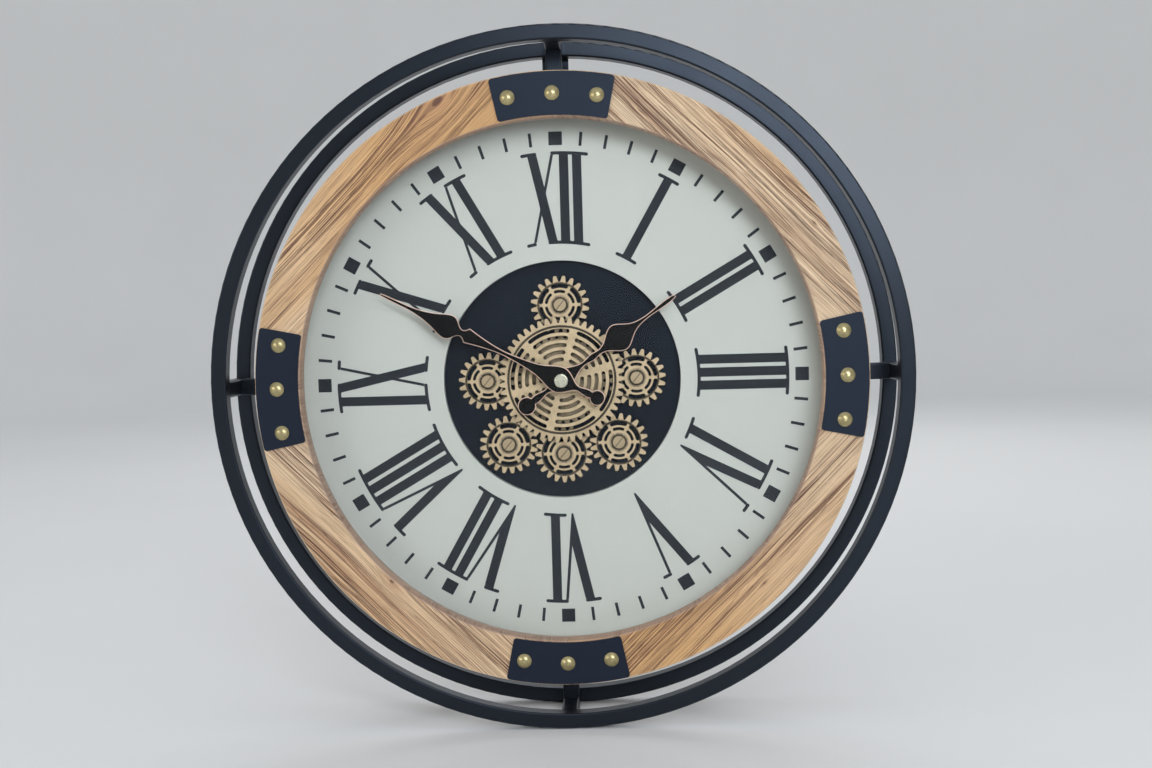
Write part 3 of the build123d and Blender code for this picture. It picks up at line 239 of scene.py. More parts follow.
class Finish:
    """A material whose nodes are added one by one."""

    def __init__(self, name):
        self.material = bpy.data.materials.new(name)
        self.material.use_nodes = True
        self.tree = self.material.node_tree
        self.tree.nodes.clear()

    def node(self, kind, settings=None, inputs=None, output=0):
        """Add a node, set it up, feed its sockets and return one of its outputs."""
        made = self.tree.nodes.new(kind)
        for key, value in (settings or {}).items():
            setattr(made, key, value)
        for key, value in (inputs or {}).items():
            socket = made.inputs[key]
            if isinstance(value, Field):
                self.tree.links.new(value.socket, socket)
            else:
                socket.default_value = value
        return Field(self, made.outputs[output]) if made.outputs else None

    def place(self, turn=(0.0, 0.0, 0.0), shift=(0.0, 0.0, 0.0)):
        """Object coordinates, turned and then shifted."""
        coords = self.node("ShaderNodeTexCoord", output="Object")
        return self.node(
            "ShaderNodeMapping",
            {"vector_type": "POINT"},
            {"Vector": coords, "Location": shift, "Rotation": [math.radians(angle) for angle in turn]},
        )

    def from_axis(self, place, x=0.0, z=AXIS_Z):
        """Distance from an axis square to the dial, through x and z."""
        flat = self.node(
            "ShaderNodeVectorMath",
            {"operation": "MULTIPLY_ADD"},
            {0: place, 1: (1.0, 0.0, 1.0), 2: (-x, 0.0, -z)},
        )
        return self.node("ShaderNodeVectorMath", {"operation": "LENGTH"}, {0: flat}, output="Value")

    def noise(self, place, scale, detail=3.0, roughness=0.55):
        """Cloudy noise, its scale in clouds to the metre."""
        return self.node(
            "ShaderNodeTexNoise",
            None,
            {"Vector": place, "Scale": scale, "Detail": detail, "Roughness": roughness},
        )

    def step(self, value, low, high):
        """Smooth step from 0 at one level of a value to 1 at another."""
        return self.node(
            "ShaderNodeMapRange",
            {"interpolation_type": "SMOOTHSTEP"},
            {"Value": value, "From Min": low, "From Max": high},
        )

    def blend(self, factor, first, second):
        """Mix two colours."""
        return self.node(
            "ShaderNodeMix",
            {"data_type": "RGBA"},
            {0: factor, 6: colour(first), 7: colour(second)},
            output=2,
        )

    def bump(self, height, strength, distance):
        """Normal of a surface with a relief."""
        return self.node(
            "ShaderNodeBump",
            None,
            {"Height": height, "Strength": strength, "Distance": distance},
        )

    def surface(self, **inputs):
        """Finish the material with one Principled shader."""
        named = {key.replace("_", " "): value for key, value in inputs.items()}
        shader = self.node("ShaderNodeBsdfPrincipled", None, named)
        self.node("ShaderNodeOutputMaterial", None, {"Surface": shader})
        return self.material


def colour(value):
    """A colour socket's value: links stay, and triples gain an alpha."""
    return value if isinstance(value, Field) else (*value, 1.0)


def paint(name, base, sheen_patch, roughness, gloss):
    """Satin paint with fine orange peel and faint dusty patches."""
    finish = Finish(name)
    place = finish.place()
    patches = finish.step(finish.noise(place, 9.0, 4.0), 0.4, 0.75)
    specks = finish.step(finish.noise(place, 420.0, 2.0), 0.62, 0.75)
    peel = finish.noise(place, 1300.0, 2.0)
    return finish.surface(
        Base_Color=finish.blend(patches * 0.5 + specks * 0.25, base, sheen_patch),
        Roughness=roughness + patches * 0.08 + specks * 0.05,
        Specular_IOR_Level=gloss,
        Specular_Tint=colour(SHEEN_TINT),
        Normal=finish.bump(peel, 0.06, 0.0002),
    )


def brushed_wood(name, grain_turn, shift, knot, warmth, warm_run, boldness):
    """Wire-brushed plank: pale bands, bands of fine dark lines, and grain that bends round a knot."""
    finish = Finish(name)
    coords = finish.place()
    place = finish.place(turn=(0.0, grain_turn, 0.0), shift=shift)
    along, depth, across = [
        finish.node("ShaderNodeSeparateXYZ", None, {"Vector": place}, output=axis) for axis in "XYZ"
    ]
    turn = math.radians(grain_turn)
    knot_along = knot[0] * math.cos(turn) + knot[1] * math.sin(turn) + shift[0]
    knot_across = knot[1] * math.cos(turn) - knot[0] * math.sin(turn) + shift[2]
    ahead = (along - knot_along) / (KNOT_LENGTH * knot[2])
    beside = across - knot_across
    spread = ahead * ahead + beside * beside / (KNOT_WIDTH * knot[2]) ** 2
    near = finish.node("ShaderNodeMath", {"operation": "EXPONENT"}, {0: spread * -1.0})
    sway = finish.node("ShaderNodeCombineXYZ", None, {"X": along * 7.0, "Y": depth, "Z": across * 26.0})
    bent = across - beside * near * 0.9 + (finish.noise(sway, 1.0, 2.0) - 0.5) * 0.006

    def grain(lines_across, lines_along, seed):
        """Noise drawn out along the bent grain."""
        run = finish.node(
            "ShaderNodeCombineXYZ",
            None,
            {"X": along * lines_along + seed, "Y": depth * 25.0, "Z": bent * lines_across},
        )
        return finish.noise(run, 1.0, 2.0, 0.6)

    middle = AXIS_Z * math.sin(turn) + shift[0]
    slope = finish.step(along, middle - WARM_REACH, middle + WARM_REACH) - 0.5
    zones = finish.step(grain(16.0, 3.0, 3.1), 0.36, 0.64) * 0.6 + warmth + slope * warm_run
    bands = finish.step(grain(58.0, 2.5, 5.3), 0.42, 0.58)
    stripes = finish.step(grain(520.0, 5.0, 8.9), 0.46, 0.58)
    lines = finish.step(grain(1800.0, 9.0, 1.7), 0.52, 0.59) * (0.18 + bands * 0.56) * boldness
    hairs = finish.step(grain(2600.0, 22.0, 2.3), 0.5, 0.6) * (0.22 + bands * 0.42)
    pores = finish.step(grain(1700.0, 50.0, 6.1), 0.58, 0.66) * (0.4 + bands * 0.3)
    tone = finish.blend(zones, WOOD_STRAW, WOOD_HONEY)
    tone = finish.blend(stripes * (0.12 + bands * 0.3) * boldness, tone, WOOD_BROWN)
    tone = finish.blend(near * 0.5, tone, WOOD_BROWN)
    tone = finish.blend(lines, tone, WOOD_DARK)
    tone = finish.blend(hairs, tone, WOOD_DARK)
    tone = finish.blend(pores, tone, WOOD_DARK)
    tone = finish.blend(finish.step(spread, 0.03, 0.01) * 0.85, tone, WOOD_DARK)
    radius = finish.from_axis(coords)
    # Painted highlight: a paler straw strip along the bezel's outer edge, where light catches the rim
    edge_highlight = finish.step(radius, BEZEL_RADIUS - EDGE_HIGHLIGHT_WIDTH, BEZEL_RADIUS) * 0.6
    lip = finish.step(radius, BEZEL_INNER + LIP_WIDTH, BEZEL_INNER) * 0.8
    tone = finish.blend(edge_highlight, tone, WOOD_STRAW)
    tone = finish.blend(lip, tone, WOOD_LIP)
    return finish.surface(
        Base_Color=tone,
        Roughness=0.58 + lines * 0.2,
        Specular_IOR_Level=0.3,
        Normal=finish.bump(1.0 - lines - hairs * 0.6, 0.6, 0.0006),
    )


def aged_metal(name, base, tarnish, roughness, grain=260.0):
    """Metal with darker tarnish in patches and fine scuffs."""
    finish = Finish(name)
    place = finish.place()
    patches = finish.step(finish.noise(place, grain, 4.0, 0.6), 0.42, 0.72)
    scuffs = finish.noise(place, grain * 9.0, 2.0)
    return finish.surface(
        Base_Color=finish.blend(patches * 0.55, base, tarnish),
        Metallic=1.0,
        Roughness=roughness + patches * 0.18 + scuffs * 0.08,
        Normal=finish.bump(scuffs, 0.05, 0.0001),
    )


def gear_lacquer(name, node, sunk_wash_and_shade, wash_and_shade_rings=(), dull=0.0):
    """Antique gold lacquer with dark wash and painted shade: darker in crevices by occlusion, below the
    face and in rings about the axis.
    """
    low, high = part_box(node)
    face = low[1]
    finish = Finish(name)
    place = finish.place()
    depth = finish.node("ShaderNodeSeparateXYZ", None, {"Vector": place}, output="Y")
    radius = finish.from_axis(place, (low[0] + high[0]) / 2, (low[2] + high[2]) / 2)
    # Painted shade: occlusion darkens the crevices, on top of the dark wash below the face and in rings
    open_sky = finish.node(
        "ShaderNodeAmbientOcclusion", {"samples": 8, "inside": False}, {"Distance": 0.003}, output="AO"
    )
    patches = finish.step(finish.noise(place, 140.0, 4.0, 0.65), 0.4, 0.7)
    grain = finish.noise(place, 1500.0, 3.0)
    patchiness = finish.step(finish.noise(place, 900.0, 3.0, 0.6), 0.35, 0.6)
    shade = finish.step(open_sky, 0.92, 0.42) * 0.92
    groove = finish.step(depth, face + GROOVE_START, face + GROOVE_END) * sunk_wash_and_shade
    slot = finish.step(depth, face + SLOT_START, face + SLOT_END) * 0.8
    shade = shade.math("MAXIMUM", shade, groove)
    shade = shade.math("MAXIMUM", shade, slot)
    for inner, outer, strength in wash_and_shade_rings:
        inside = finish.step(radius, outer + WASH_AND_SHADE_EDGE, outer)
        ring = finish.step(radius, inner - WASH_AND_SHADE_EDGE, inner) * inside * (0.45 + patchiness * 0.55)
        shade = shade.math("MAXIMUM", shade, ring * strength)
    tone = finish.blend(patches * 0.6, GEAR_GOLD, GEAR_GOLD_WORN)
    tone = finish.blend(finish.step(grain, 0.5, 0.8) * 0.3, tone, GEAR_SPECK)
    tone = finish.blend(dull, tone, GEAR_DULL)
    # Darkened crevices, grooves, slots and rings: dark wash together with painted shade
    tone = finish.blend(shade, tone, GEAR_WASH_AND_SHADE)
    return finish.surface(
        Base_Color=tone,
        Metallic=0.3,
        Roughness=0.42 + patches * 0.1 + shade * 0.3,
        Normal=finish.bump(grain, 0.12, 0.0002),
    )


def printed_paper(name, base, fleck, gloss):
    """Matt printed paper with faint fibres."""
    finish = Finish(name)
    place = finish.place()
    cloud = finish.noise(place, 6.0, 3.0)
    fibre = finish.noise(place, 900.0, 3.0)
    patches = finish.step(cloud, 0.3, 0.7) * 0.5
    flecks = finish.step(fibre, 0.45, 0.75) * 0.3
    return finish.surface(
        Base_Color=finish.blend(patches + flecks, base, fleck),
        Roughness=0.62 + fibre * 0.1,
        Specular_IOR_Level=gloss,
        Normal=finish.bump(fibre, 0.04, 0.0001),
    )


def dial_card(name):
    """Printed paper on the dial's front and round its hole, bare brown hardboard on its back and rim."""
    finish = Finish(name)
    place = finish.place()
    normal = finish.node("ShaderNodeTexCoord", output="Normal")
    facing = finish.node("ShaderNodeSeparateXYZ", None, {"Vector": normal}, output="Y")
    radius = finish.from_axis(place)
    rim = finish.step(radius, DIAL_RADIUS - RIM_START, DIAL_RADIUS - RIM_END)
    board = rim.math("MAXIMUM", rim, finish.step(facing, 0.5, 0.7))
    cloud = finish.step(finish.noise(place, 6.0, 3.0), 0.3, 0.7)
    fibre = finish.noise(place, 900.0, 3.0)
    flecks = finish.step(finish.noise(place, 650.0, 4.0, 0.7), 0.42, 0.68)
    mottle = cloud * 0.5 + finish.step(fibre, 0.45, 0.75) * 0.3
    paper = finish.blend(mottle, DIAL_PAPER, DIAL_PAPER_SHADE)
    bare = finish.blend(flecks, BOARD_BROWN, BOARD_FLECK)
    return finish.surface(
        Base_Color=finish.blend(board, paper, bare),
        Roughness=0.62 + fibre * 0.1 + board * 0.12,
        Normal=finish.bump(fibre + flecks * board, 0.05, 0.0002),
    )


def moulded_plastic(name, base, worn, roughness):
    """Moulded plastic with a fine spark-eroded grain."""
    finish = Finish(name)
    place = finish.place()
    pebbles = finish.noise(place, 2200.0, 2.0)
    cloud = finish.step(finish.noise(place, 30.0, 3.0), 0.4, 0.7)
    return finish.surface(
        Base_Color=finish.blend(cloud * 0.4 + finish.step(pebbles, 0.55, 0.75) * 0.3, base, worn),
        Roughness=roughness + pebbles * 0.15,
        Normal=finish.bump(pebbles, 0.15, 0.0002),
    )


def hand_lacquer(name):
    """Black lacquer on the flat of the hand and bare copper on its bevels."""
    finish = Finish(name)
    place = finish.place()
    normal = finish.node("ShaderNodeTexCoord", output="Normal")
    facing = finish.node("ShaderNodeSeparateXYZ", None, {"Vector": normal}, output="Y")
    flat = facing.math("ABSOLUTE", facing, 0.0)
    bevel = finish.step(flat, 0.97, 0.9)
    scuffs = finish.noise(place, 700.0, 3.0)
    copper = finish.blend(finish.step(scuffs, 0.4, 0.7) * 0.5, HAND_COPPER, HAND_COPPER_WORN)
    tone = finish.blend(bevel, HAND_BLACK, copper)
    return finish.surface(
        Base_Color=tone,
        Metallic=bevel * 0.35,
        Roughness=0.3 + scuffs * 0.12,
        Specular_IOR_Level=0.1,
        Normal=finish.bump(scuffs, 0.03, 0.0001),
    )


def clear_glass(name):
    """Clear sheet glass that lets the light of the lamps through."""
    finish = Finish(name)
    smear = finish.step(finish.noise(finish.place(), 14.0, 3.0), 0.4, 0.8)
    glass = finish.node(
        "ShaderNodeBsdfPrincipled",
        None,
        {
            "Base Color": colour(GLASS_TINT),
            "Roughness": smear * 0.02,
            "Transmission Weight": 1.0,
            "IOR": GLASS_INDEX,
        },
    )
    clear = finish.node("ShaderNodeBsdfTransparent", None, {"Color": colour(GLASS_SHADOW)})
    lamp_ray = finish.node("ShaderNodeLightPath", output="Is Shadow Ray")
    mixed = finish.node("ShaderNodeMixShader", None, {0: lamp_ray, 1: glass, 2: clear})
    finish.node("ShaderNodeOutputMaterial", None, {"Surface": mixed})
    return finish.material


def wound_copper(name):
    """Enamelled wire wound in even turns along the coil."""
    finish = Finish(name)
    place = finish.place()
    turns = finish.node(
        "ShaderNodeTexWave",
        {"wave_type": "BANDS", "bands_direction": "X"},
        {"Vector": place, "Scale": 900.0, "Distortion": 0.4, "Detail": 1.0},
        output="Fac",
    )
    return finish.surface(
        Base_Color=finish.blend(turns, *COIL_COPPER),
        Metallic=0.8,
        Roughness=0.35 + turns * 0.1,
        Normal=finish.bump(turns, 0.4, 0.0002),
    )


def cell_sleeve(name):
    """Printed sleeve of a round cell, black with a copper-coloured band at one end."""
    finish = Finish(name)
    place = finish.place()
    across = finish.node("ShaderNodeSeparateXYZ", None, {"Vector": place}, output="X")
    band = finish.step(across, *CELL_BAND)
    scuffs = finish.noise(place, 500.0, 3.0)
    dark = finish.blend(finish.step(scuffs, 0.5, 0.8) * 0.4, *CELL_BLACK)
    return finish.surface(
        Base_Color=finish.blend(band, dark, CELL_COPPER),
        Metallic=band * 0.8,
        Roughness=0.3 + scuffs * 0.1,
    )


def solder_mask(name):
    """Green circuit board with paler tracks."""
    finish = Finish(name)
    place = finish.place()
    tracks = finish.node(
        "ShaderNodeTexBrick",
        {"offset": 0.37},
        {
            "Vector": finish.place(turn=(90.0, 0.0, 0.0)),
            "Scale": 300.0,
            "Mortar Size": 0.06,
            "Color1": (0.0, 0.0, 0.0, 1.0),
            "Color2": (0.0, 0.0, 0.0, 1.0),
            "Mortar": (1.0, 1.0, 1.0, 1.0),
        },
        output="Fac",
    )
    grain = finish.noise(place, 1200.0, 2.0)
    return finish.surface(
        Base_Color=finish.blend(tracks, *CIRCUIT_GREEN),
        Roughness=0.35 + grain * 0.1,
    )


def dress(material, *nodes):
    """Give CAD nodes a finish."""
    for node in nodes:
        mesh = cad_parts[node].data
        mesh.materials.clear()
        mesh.materials.append(material)


def dress_all():
    """Finish every CAD node."""
    sides = ("right", "top", "left", "bottom")
    bars = ["front_ring", "rear_ring", "hanger_plate"]
    bars += [f"{kind}_{side}" for kind in ("strut", "spoke") for side in sides]
    dress(paint("black_bar", *BAR_PAINT, roughness=0.3, gloss=0.5), *bars)
    straps = [f"strap_{side}" for side in sides]
    dress(paint("strap_paint", *STRAP_PAINT, roughness=0.42, gloss=0.32), *straps)
    for name, board in BOARDS.items():
        dress(brushed_wood(f"wood_{name}", *board), f"bezel_{name}")
    dress(aged_metal("stud_brass", *STUD_BRASS, roughness=0.24), "dome_studs")
    dress(clear_glass("front_glass"), "front_glass")
    dress(printed_paper("case_board", *CASE_BOARD, gloss=0.4), "case_ring")
    dress(dial_card("dial_card"), "dial_board")
    dress(paint("plate_paint", *PLATE_PAINT, roughness=0.55, gloss=0.15), "gear_plate")
    gears = ["gear_right", "gear_top", "gear_left", "gear_bottom", "gear_lower_right", "gear_lower_left"]
    for gear in gears:
        dress(gear_lacquer(f"{gear}_gold", gear, sunk_wash_and_shade=0.92, wash_and_shade_rings=SMALL_GEAR_WASH_AND_SHADE), gear)
    dress(gear_lacquer("sun_gear_gold", "sun_gear", sunk_wash_and_shade=0.6), "sun_gear")
    dress(
        gear_lacquer("centre_gear_gold", "centre_gear", sunk_wash_and_shade=0.92, wash_and_shade_rings=CENTRE_GEAR_WASH_AND_SHADE),
        "centre_gear",
    )
    dress(gear_lacquer("gear_cap_gold", "gear_caps", sunk_wash_and_shade=0.25, dull=0.7), "gear_caps")
    dress(
        aged_metal("zinc_steel", *ZINC_STEEL, roughness=0.3),
        "case_screws",
        "spoke_screws",
        "gearbox_screws",
        "gear_posts",
        "bush_nut",
        "retaining_ring",
    )
    dress(aged_metal("turned_brass", *TURNED_BRASS, roughness=0.25), "centre_bush", "minute_arbor")
    dress(hand_lacquer("hand_lacquer"), "hour_hand", "minute_hand")
    dress(aged_metal("nut_nickel", *NUT_NICKEL, roughness=0.2, grain=520.0), "hand_nut")
    dress(
        moulded_plastic("black_plastic", *BLACK_PLASTIC, roughness=0.4),
        "gearbox_shell",
        "movement_case",
        "movement_cover",
        "setting_knob",
        "battery_box",
        "battery_door",
    )
    dress(
        moulded_plastic("white_plastic", *WHITE_PLASTIC, roughness=0.38),
        "gear_sleeve",
        "drive_wheel",
        "motor_pinion",
        "motion_wheel",
        "hour_wheel",
    )
    dress(aged_metal("motor_can", *MOTOR_CAN, roughness=0.32), "gear_motor")
    dress(wound_copper("wound_copper"), "motor_coil")
    dress(solder_mask("solder_mask"), "circuit_board")
    dress(cell_sleeve("cell_sleeve"), "clock_cell", "gear_cells")


def add_plate(mesh, outline):
    """Add a thin printed plate on the dial from points at x and height from the axis, anticlockwise."""
    rear = [mesh.verts.new((x, DIAL_FACE, AXIS_Z + z)) for x, z in outline]
    front = [mesh.verts.new((x, DIAL_FACE - PRINT_THICKNESS, AXIS_Z + z)) for x, z in outline]
    mesh.faces.new(front)
    mesh.faces.new(rear[::-1])
    for index in range(len(outline)):
        following = (index + 1) % len(outline)
        mesh.faces.new((front[index], rear[index], rear[following], front[following]))


def arc_height(radius, x):
    """Height of a circle about the axis at a distance from its middle line."""
    return math.sqrt(radius**2 - x**2)


def crossing(first, second):
    """Point where two lines, each of two points, meet."""
    (ax, ay), (bx, by) = first
    (cx, cy), (dx, dy) = second
    offset = (cx - ax) * (dy - cy) - (cy - ay) * (dx - cx)
    share = offset / ((bx - ax) * (dy - cy) - (by - ay) * (dx - cx))
    return ax + share * (bx - ax), ay + share * (by - ay)


def serif_bar(outer, inner, left, right):
    """Outline of a bar with round ends between two circles, bent along them."""
    low = [left + (right - left) * step / BAR_STEPS for step in range(BAR_STEPS + 1)]
    lower = [(x, arc_height(inner, x)) for x in low]
    upper = [(x, arc_height(outer, x)) for x in reversed(low)]
    radius = (outer - inner) / 2
    ends = []
    for x, side in ((right, 1), (left, -1)):
        middle = (arc_height(inner, x) + arc_height(outer, x)) / 2
        angles = [math.pi * (step / CAP_STEPS - 0.5) for step in range(1, CAP_STEPS)]
        ends.append(
            [(x + side * radius * math.cos(a), middle + side * radius * math.sin(a)) for a in angles]
        )
    return lower + ends[0] + upper + ends[1]


def stroke_line(top, foot, inner, outer):
    """Left or right edge of a stroke, from foot to top between two circles."""
    return (foot, arc_height(inner, foot)), (top, arc_height(outer, top))


def letter_strokes(letter, middle, lean):
    """Outlines of a letter's strokes, and the edges of its stems at the top and the foot."""
    inner = NUMERAL_INNER + SERIF
    outer = NUMERAL_OUTER - SERIF
    if letter == "I":
        left = middle - STEM / 2
        right = middle + STEM / 2
        foot_left, top_left = stroke_line(left, left, inner, outer)
        foot_right, top_right = stroke_line(right, right, inner, outer)
        return [[foot_left, foot_right, top_right, top_left]], [(left, right)], [(left, right)]
    half_stem = STEM / 2
    half_hair = HAIRLINE / 2
    if letter == "V":
        thick = middle - VEE_TOP
        thin = middle + VEE_TOP
        tip = middle + lean
        tip_height = arc_height(NUMERAL_INNER, tip)
        tip_left = (tip - VEE_TIP, tip_height)
        tip_right = (tip + VEE_TIP, tip_height)
        thick_left = (thick - half_stem, arc_height(outer, thick - half_stem))
        thick_right = (thick + half_stem, arc_height(outer, thick + half_stem))
        thin_left = (thin - half_hair, arc_height(outer, thin - half_hair))
        thin_right = (thin + half_hair, arc_height(outer, thin + half_hair))
        thick_run = (tip_left[0] - thick_left[0], tip_left[1] - thick_left[1])
        thin_run = (tip_right[0] - thin_right[0], tip_right[1] - thin_right[1])
        thick_inside = (thick_right, (thick_right[0] + thick_run[0], thick_right[1] + thick_run[1]))
        thin_inside = (thin_left, (thin_left[0] + thin_run[0], thin_left[1] + thin_run[1]))
        crotch = crossing(thick_inside, thin_inside)
        outline = [tip_left, tip_right, thin_right, thin_left, crotch, thick_right, thick_left]
        stems = [(thick - half_stem, thick + half_stem), (thin - half_hair, thin + half_hair)]
        return [outline], stems, []
    thick_edges = [
        stroke_line(middle - CROSS_TOP + side, middle + CROSS_FOOT + side, inner, outer)
        for side in (-half_stem, half_stem)
    ]
    thin_edges = [
        stroke_line(middle + CROSS_TOP + side, middle - CROSS_FOOT + side, inner, outer)
        for side in (-half_hair, half_hair)
    ]
    (left_foot, left_top), (right_foot, right_top) = thick_edges
    (hair_left_foot, hair_left_top), (hair_right_foot, hair_right_top) = thin_edges
    thick = [left_foot, right_foot, right_top, left_top]
    lower = [
        hair_left_foot,
        hair_right_foot,
        crossing(thin_edges[1], thick_edges[0]),
        crossing(thin_edges[0], thick_edges[0]),
    ]
    upper = [
        crossing(thin_edges[0], thick_edges[1]),
        crossing(thin_edges[1], thick_edges[1]),
        hair_right_top,
        hair_left_top,
    ]
    tops = [(left_top[0], right_top[0]), (hair_left_top[0], hair_right_top[0])]
    feet = [(hair_left_foot[0], hair_right_foot[0]), (left_foot[0], right_foot[0])]
    return [thick, lower, upper], tops, feet


def joined_bars(letters):
    """Left and right ends of serif bars over stems grouped by letter, joined from letter to letter."""
    bars = []
    cap = SERIF / 2
    for index, stems in enumerate(letters):
        for place, (left, right) in enumerate(stems):
            first = place == 0
            last = place == len(stems) - 1
            before = index > 0 and bool(letters[index - 1])
            after = index < len(letters) - 1 and bool(letters[index + 1])
            if first and before:
                bars[-1][1] = right - cap
            else:
                bars.append([left - SERIF_REACH if first else left + cap, right - cap])
            if last and not after:
                bars[-1][1] = right + SERIF_REACH
    return bars


def numeral_outlines(text, shift):
    """Outlines of all strokes and serifs of a numeral at twelve o'clock, moved sideways by a shift."""
    middles = [0.0]
    for pair in zip(text, text[1:]):
        middles.append(middles[-1] + LETTER_STEPS["".join(pair)])
    reach = {"I": STEM / 2, "V": VEE_TOP + STEM / 2, "X": CROSS_TOP + STEM / 2}
    left = middles[0] - reach[text[0]]
    right = middles[-1] + reach[text[-1]]
    centre = (left + right) / 2 - shift
    outlines = []
    tops = []
    feet = []
    lean = VEE_LEAN.get(text, 0.0)
    for letter, middle in zip(text, middles):
        strokes, letter_tops, letter_feet = letter_strokes(letter, middle - centre, lean)
        outlines += strokes
        tops.append(letter_tops)
        feet.append(letter_feet)
    for start, end in joined_bars(tops):
        outlines.append(serif_bar(NUMERAL_OUTER, NUMERAL_OUTER - SERIF, start, end))
    for start, end in joined_bars(feet):
        outlines.append(serif_bar(NUMERAL_INNER + SERIF, NUMERAL_INNER, start, end))
    return outlines


def print_numerals(ink):
    """Roman numerals around the dial, their tops outwards."""
    plates = bmesh.new()
    for hour, (text, shift) in enumerate(zip(NUMERALS, NUMERAL_SHIFTS)):
        turn = 2 * math.pi * hour / len(NUMERALS)
        for outline in numeral_outlines(text, shift):
            turned = [
                (x * math.cos(turn) + z * math.sin(turn), z * math.cos(turn) - x * math.sin(turn))
                for x, z in outline
            ]
            add_plate(plates, turned)
    mesh = bpy.data.meshes.new("numerals")
    bmesh.ops.recalc_face_normals(plates, faces=plates.faces)
    plates.to_mesh(mesh)
    plates.free()
    mesh.materials.append(ink)
    piece = bpy.data.objects.new("numerals", mesh)
    bpy.context.scene.collection.objects.link(piece)
    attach(piece, "clock_body")


class Tree:
    """A geometry node tree with named inputs, built node by node."""

    def __init__(self, name):
        self.group = bpy.data.node_groups.new(name, "GeometryNodeTree")
        self.group.interface.new_socket("Geometry", in_out="OUTPUT", socket_type="NodeSocketGeometry")
        self.sizes = {}
        self.entry = self.group.nodes.new("NodeGroupInput")

    def size(self, name, kind, value):
        """Declare an input and return its socket inside the tree."""
        item = self.group.interface.new_socket(name, in_out="INPUT", socket_type=kind)
        self.sizes[item.identifier] = value
        return self.entry.outputs[item.identifier]

    def node(self, kind, settings=None, inputs=None, output=0):
        """Add a node, set it up, feed its sockets and return one of its outputs."""
        made = self.group.nodes.new(kind)
        for key, value in (settings or {}).items():
            setattr(made, key, value)
        for key, value in (inputs or {}).items():
            if isinstance(value, bpy.types.NodeSocket):
                self.group.links.new(value, made.inputs[key])
            else:
                made.inputs[key].default_value = value
        return made.outputs[output]

    def make(self, name, last):
        """Run the tree and return its result as a plain mesh object."""
        self.group.links.new(last, self.group.nodes.new("NodeGroupOutput").inputs[0])
        piece = bpy.data.objects.new(name, bpy.data.meshes.new(name))
        bpy.context.scene.collection.objects.link(piece)
        modifier = piece.modifiers.new("tree", "NODES")
        modifier.node_group = self.group
        for identifier, value in self.sizes.items():
            modifier[identifier] = value
        graph = bpy.context.evaluated_depsgraph_get()
        mesh = bpy.data.meshes.new_from_object(piece.evaluated_get(graph))
        piece.modifiers.clear()
        piece.data = mesh
        mesh.name = name
        return piece


def print_marks(ink):
    """Minute ticks and hour squares on one circle, made by one geometry node tree."""
    tree = Tree("dial_marks")
    radius = tree.size("Radius", "NodeSocketFloat", MARK_RADIUS)
    square = tree.size("Square", "NodeSocketVector", (SQUARE_SIZE, SQUARE_SIZE, PRINT_THICKNESS))
    tick = tree.size("Tick", "NodeSocketVector", (TICK_LENGTH, TICK_WIDTH, PRINT_THICKNESS))
    seat = tree.size("Seat", "NodeSocketVector", (0.0, DIAL_FACE - PRINT_THICKNESS / 2, AXIS_Z))
    circle = tree.node("GeometryNodeMeshCircle", None, {"Vertices": MARK_COUNT, "Radius": radius})
    outwards = tree.node(
        "FunctionNodeAlignRotationToVector",
        {"axis": "X", "pivot_axis": "Z"},
        {"Vector": tree.node("GeometryNodeInputPosition")},
    )
    place = tree.node(
        "ShaderNodeMath",
        {"operation": "MODULO"},
        {0: tree.node("GeometryNodeInputIndex"), 1: float(MARKS_PER_HOUR)},
    )
    on_hour = tree.node("FunctionNodeCompare", {"operation": "LESS_THAN"}, {0: place, 1: 0.5})
    between = tree.node("FunctionNodeBooleanMath", {"operation": "NOT"}, {0: on_hour})
    marks = tree.node("GeometryNodeJoinGeometry")
    for chosen, size in ((on_hour, square), (between, tick)):
        copies = tree.node(
            "GeometryNodeInstanceOnPoints",
            None,
            {
                "Points": circle,
                "Selection": chosen,
                "Instance": tree.node("GeometryNodeMeshCube", None, {"Size": size}),
                "Rotation": outwards,
            },
        )
        tree.group.links.new(copies, marks.node.inputs[0])
    upright = tree.node(
        "GeometryNodeTransform",
        None,
        {"Geometry": marks, "Translation": seat, "Rotation": (math.radians(90.0), 0.0, 0.0)},
    )
    real = tree.node("GeometryNodeRealizeInstances", None, {"Geometry": upright})
    inked = tree.node("GeometryNodeSetMaterial", None, {"Geometry": real, "Material": ink})
    piece = tree.make("dial_marks", inked)
    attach(piece, "clock_body")


def add_area_light(name, place, size, power, tint, roll):
    """Soft lamp of a given width and height, aimed at the clock and rolled about its own beam."""
    lamp = bpy.data.lights.new(name, "AREA")
    lamp.shape = "ELLIPSE"
    lamp.size, lamp.size_y = size
    lamp.energy = power
    lamp.color = tint
    holder = bpy.data.objects.new(name, lamp)
    holder.location = place
    aim = (Vector(LAMP_TARGET) - Vector(place)).to_track_quat("-Z", "Y")
    holder.rotation_euler = (aim @ Quaternion((0.0, 0.0, 1.0), math.radians(roll))).to_euler()
    holder.visible_camera = False
    bpy.context.scene.collection.objects.link(holder)


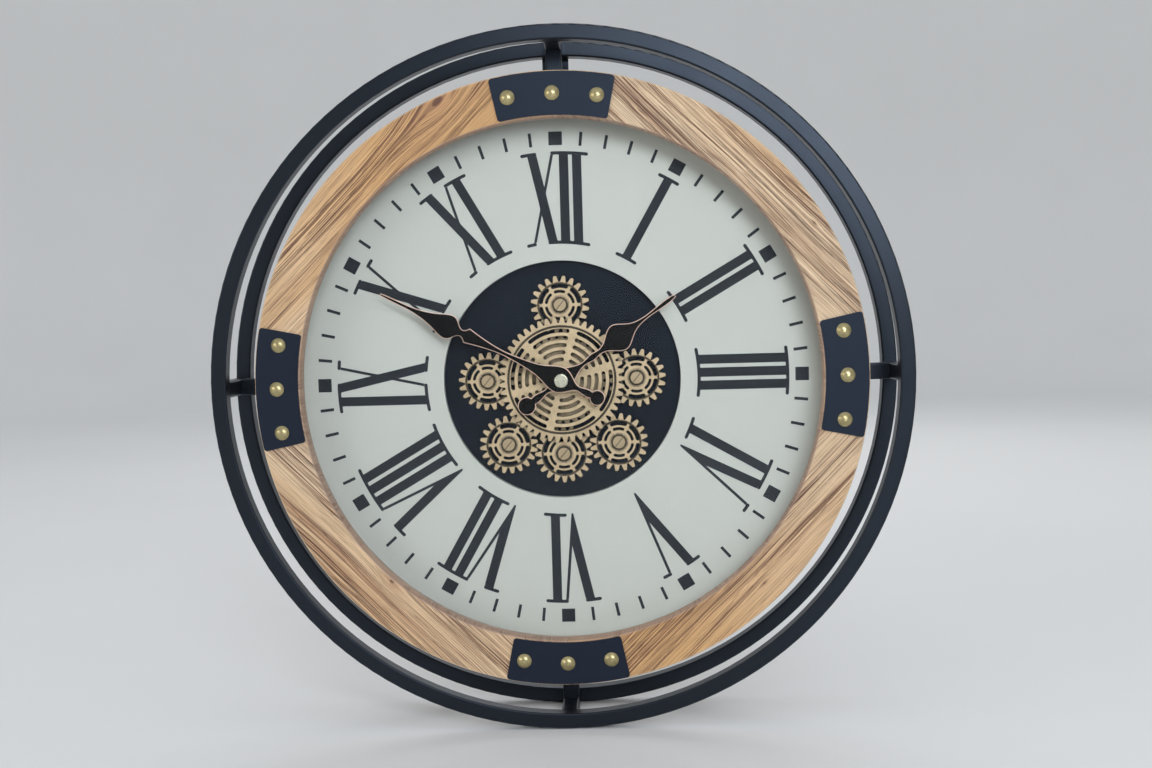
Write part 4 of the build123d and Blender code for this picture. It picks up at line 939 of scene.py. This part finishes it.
def build_studio():
    """Pale floor and backdrop, soft light from the upper right, and the photograph's camera."""
    scene = bpy.context.scene
    scene.view_settings.view_transform = "Standard"

    world = bpy.data.worlds.new("studio")
    scene.world = world
    world.use_nodes = True
    shade = world.node_tree.nodes["Background"]
    shade.inputs["Color"].default_value = colour(SKY_TINT)
    shade.inputs["Strength"].default_value = SKY_STRENGTH

    level = cad_box[0][2] - FLOOR_GAP
    profile = [(STUDIO_RADIUS * share, level) for share in FLOOR_SHARES]
    flat = FLOOR_SHARES[-1]
    for step in range(SWEEP_STEPS + 1):
        angle = math.radians(90.0 * step / SWEEP_STEPS)
        radius = STUDIO_RADIUS * (flat + (1.0 - flat) * math.sin(angle))
        profile.append((radius, level + SWEEP_RISE * (1.0 - math.cos(angle))))
    profile.append((STUDIO_RADIUS, STUDIO_HEIGHT))
    bowl = bmesh.new()
    for radius, height in profile:
        bmesh.ops.create_circle(bowl, segments=STUDIO_SIDES, radius=radius)
        for vertex in bowl.verts[-STUDIO_SIDES:]:
            vertex.co.z = height
    bowl.verts.ensure_lookup_table()
    bowl.faces.new(bowl.verts[:STUDIO_SIDES])
    for row in range(len(profile) - 1):
        for side in range(STUDIO_SIDES):
            near = row * STUDIO_SIDES + side
            following = row * STUDIO_SIDES + (side + 1) % STUDIO_SIDES
            corners = (near, near + STUDIO_SIDES, following + STUDIO_SIDES, following)
            bowl.faces.new([bowl.verts[index] for index in corners])
    for face in bowl.faces:
        face.smooth = True
    bowl_mesh = bpy.data.meshes.new("studio_bowl")
    bowl.to_mesh(bowl_mesh)
    bowl.free()
    pale = Finish("pale_bowl")
    cloud = pale.noise(pale.place(), 3.0, 3.0)
    bowl_tone = pale.blend(cloud, *STUDIO_PALE)
    bowl_mesh.materials.append(pale.surface(Base_Color=bowl_tone, Roughness=0.8))
    backdrop = bpy.data.objects.new("studio_bowl", bowl_mesh)
    scene.collection.objects.link(backdrop)

    for name, lamp in LAMPS.items():
        add_area_light(name, *lamp)

    eye = bpy.data.cameras.new("camera")
    eye.lens = CAMERA_LENS
    eye.sensor_width = CAMERA_SENSOR
    eye.sensor_fit = "HORIZONTAL"
    eye.clip_start = CAMERA_NEAR
    camera = bpy.data.objects.new("camera", eye)
    camera.location = CAMERA_PLACE
    camera.rotation_euler = [math.radians(angle) for angle in CAMERA_TURN]
    scene.collection.objects.link(camera)
    scene.camera = camera


dress_all()
dial_ink = printed_paper("dial_ink", *DIAL_INK, gloss=0.2)
print_numerals(dial_ink)
print_marks(dial_ink)
build_studio()
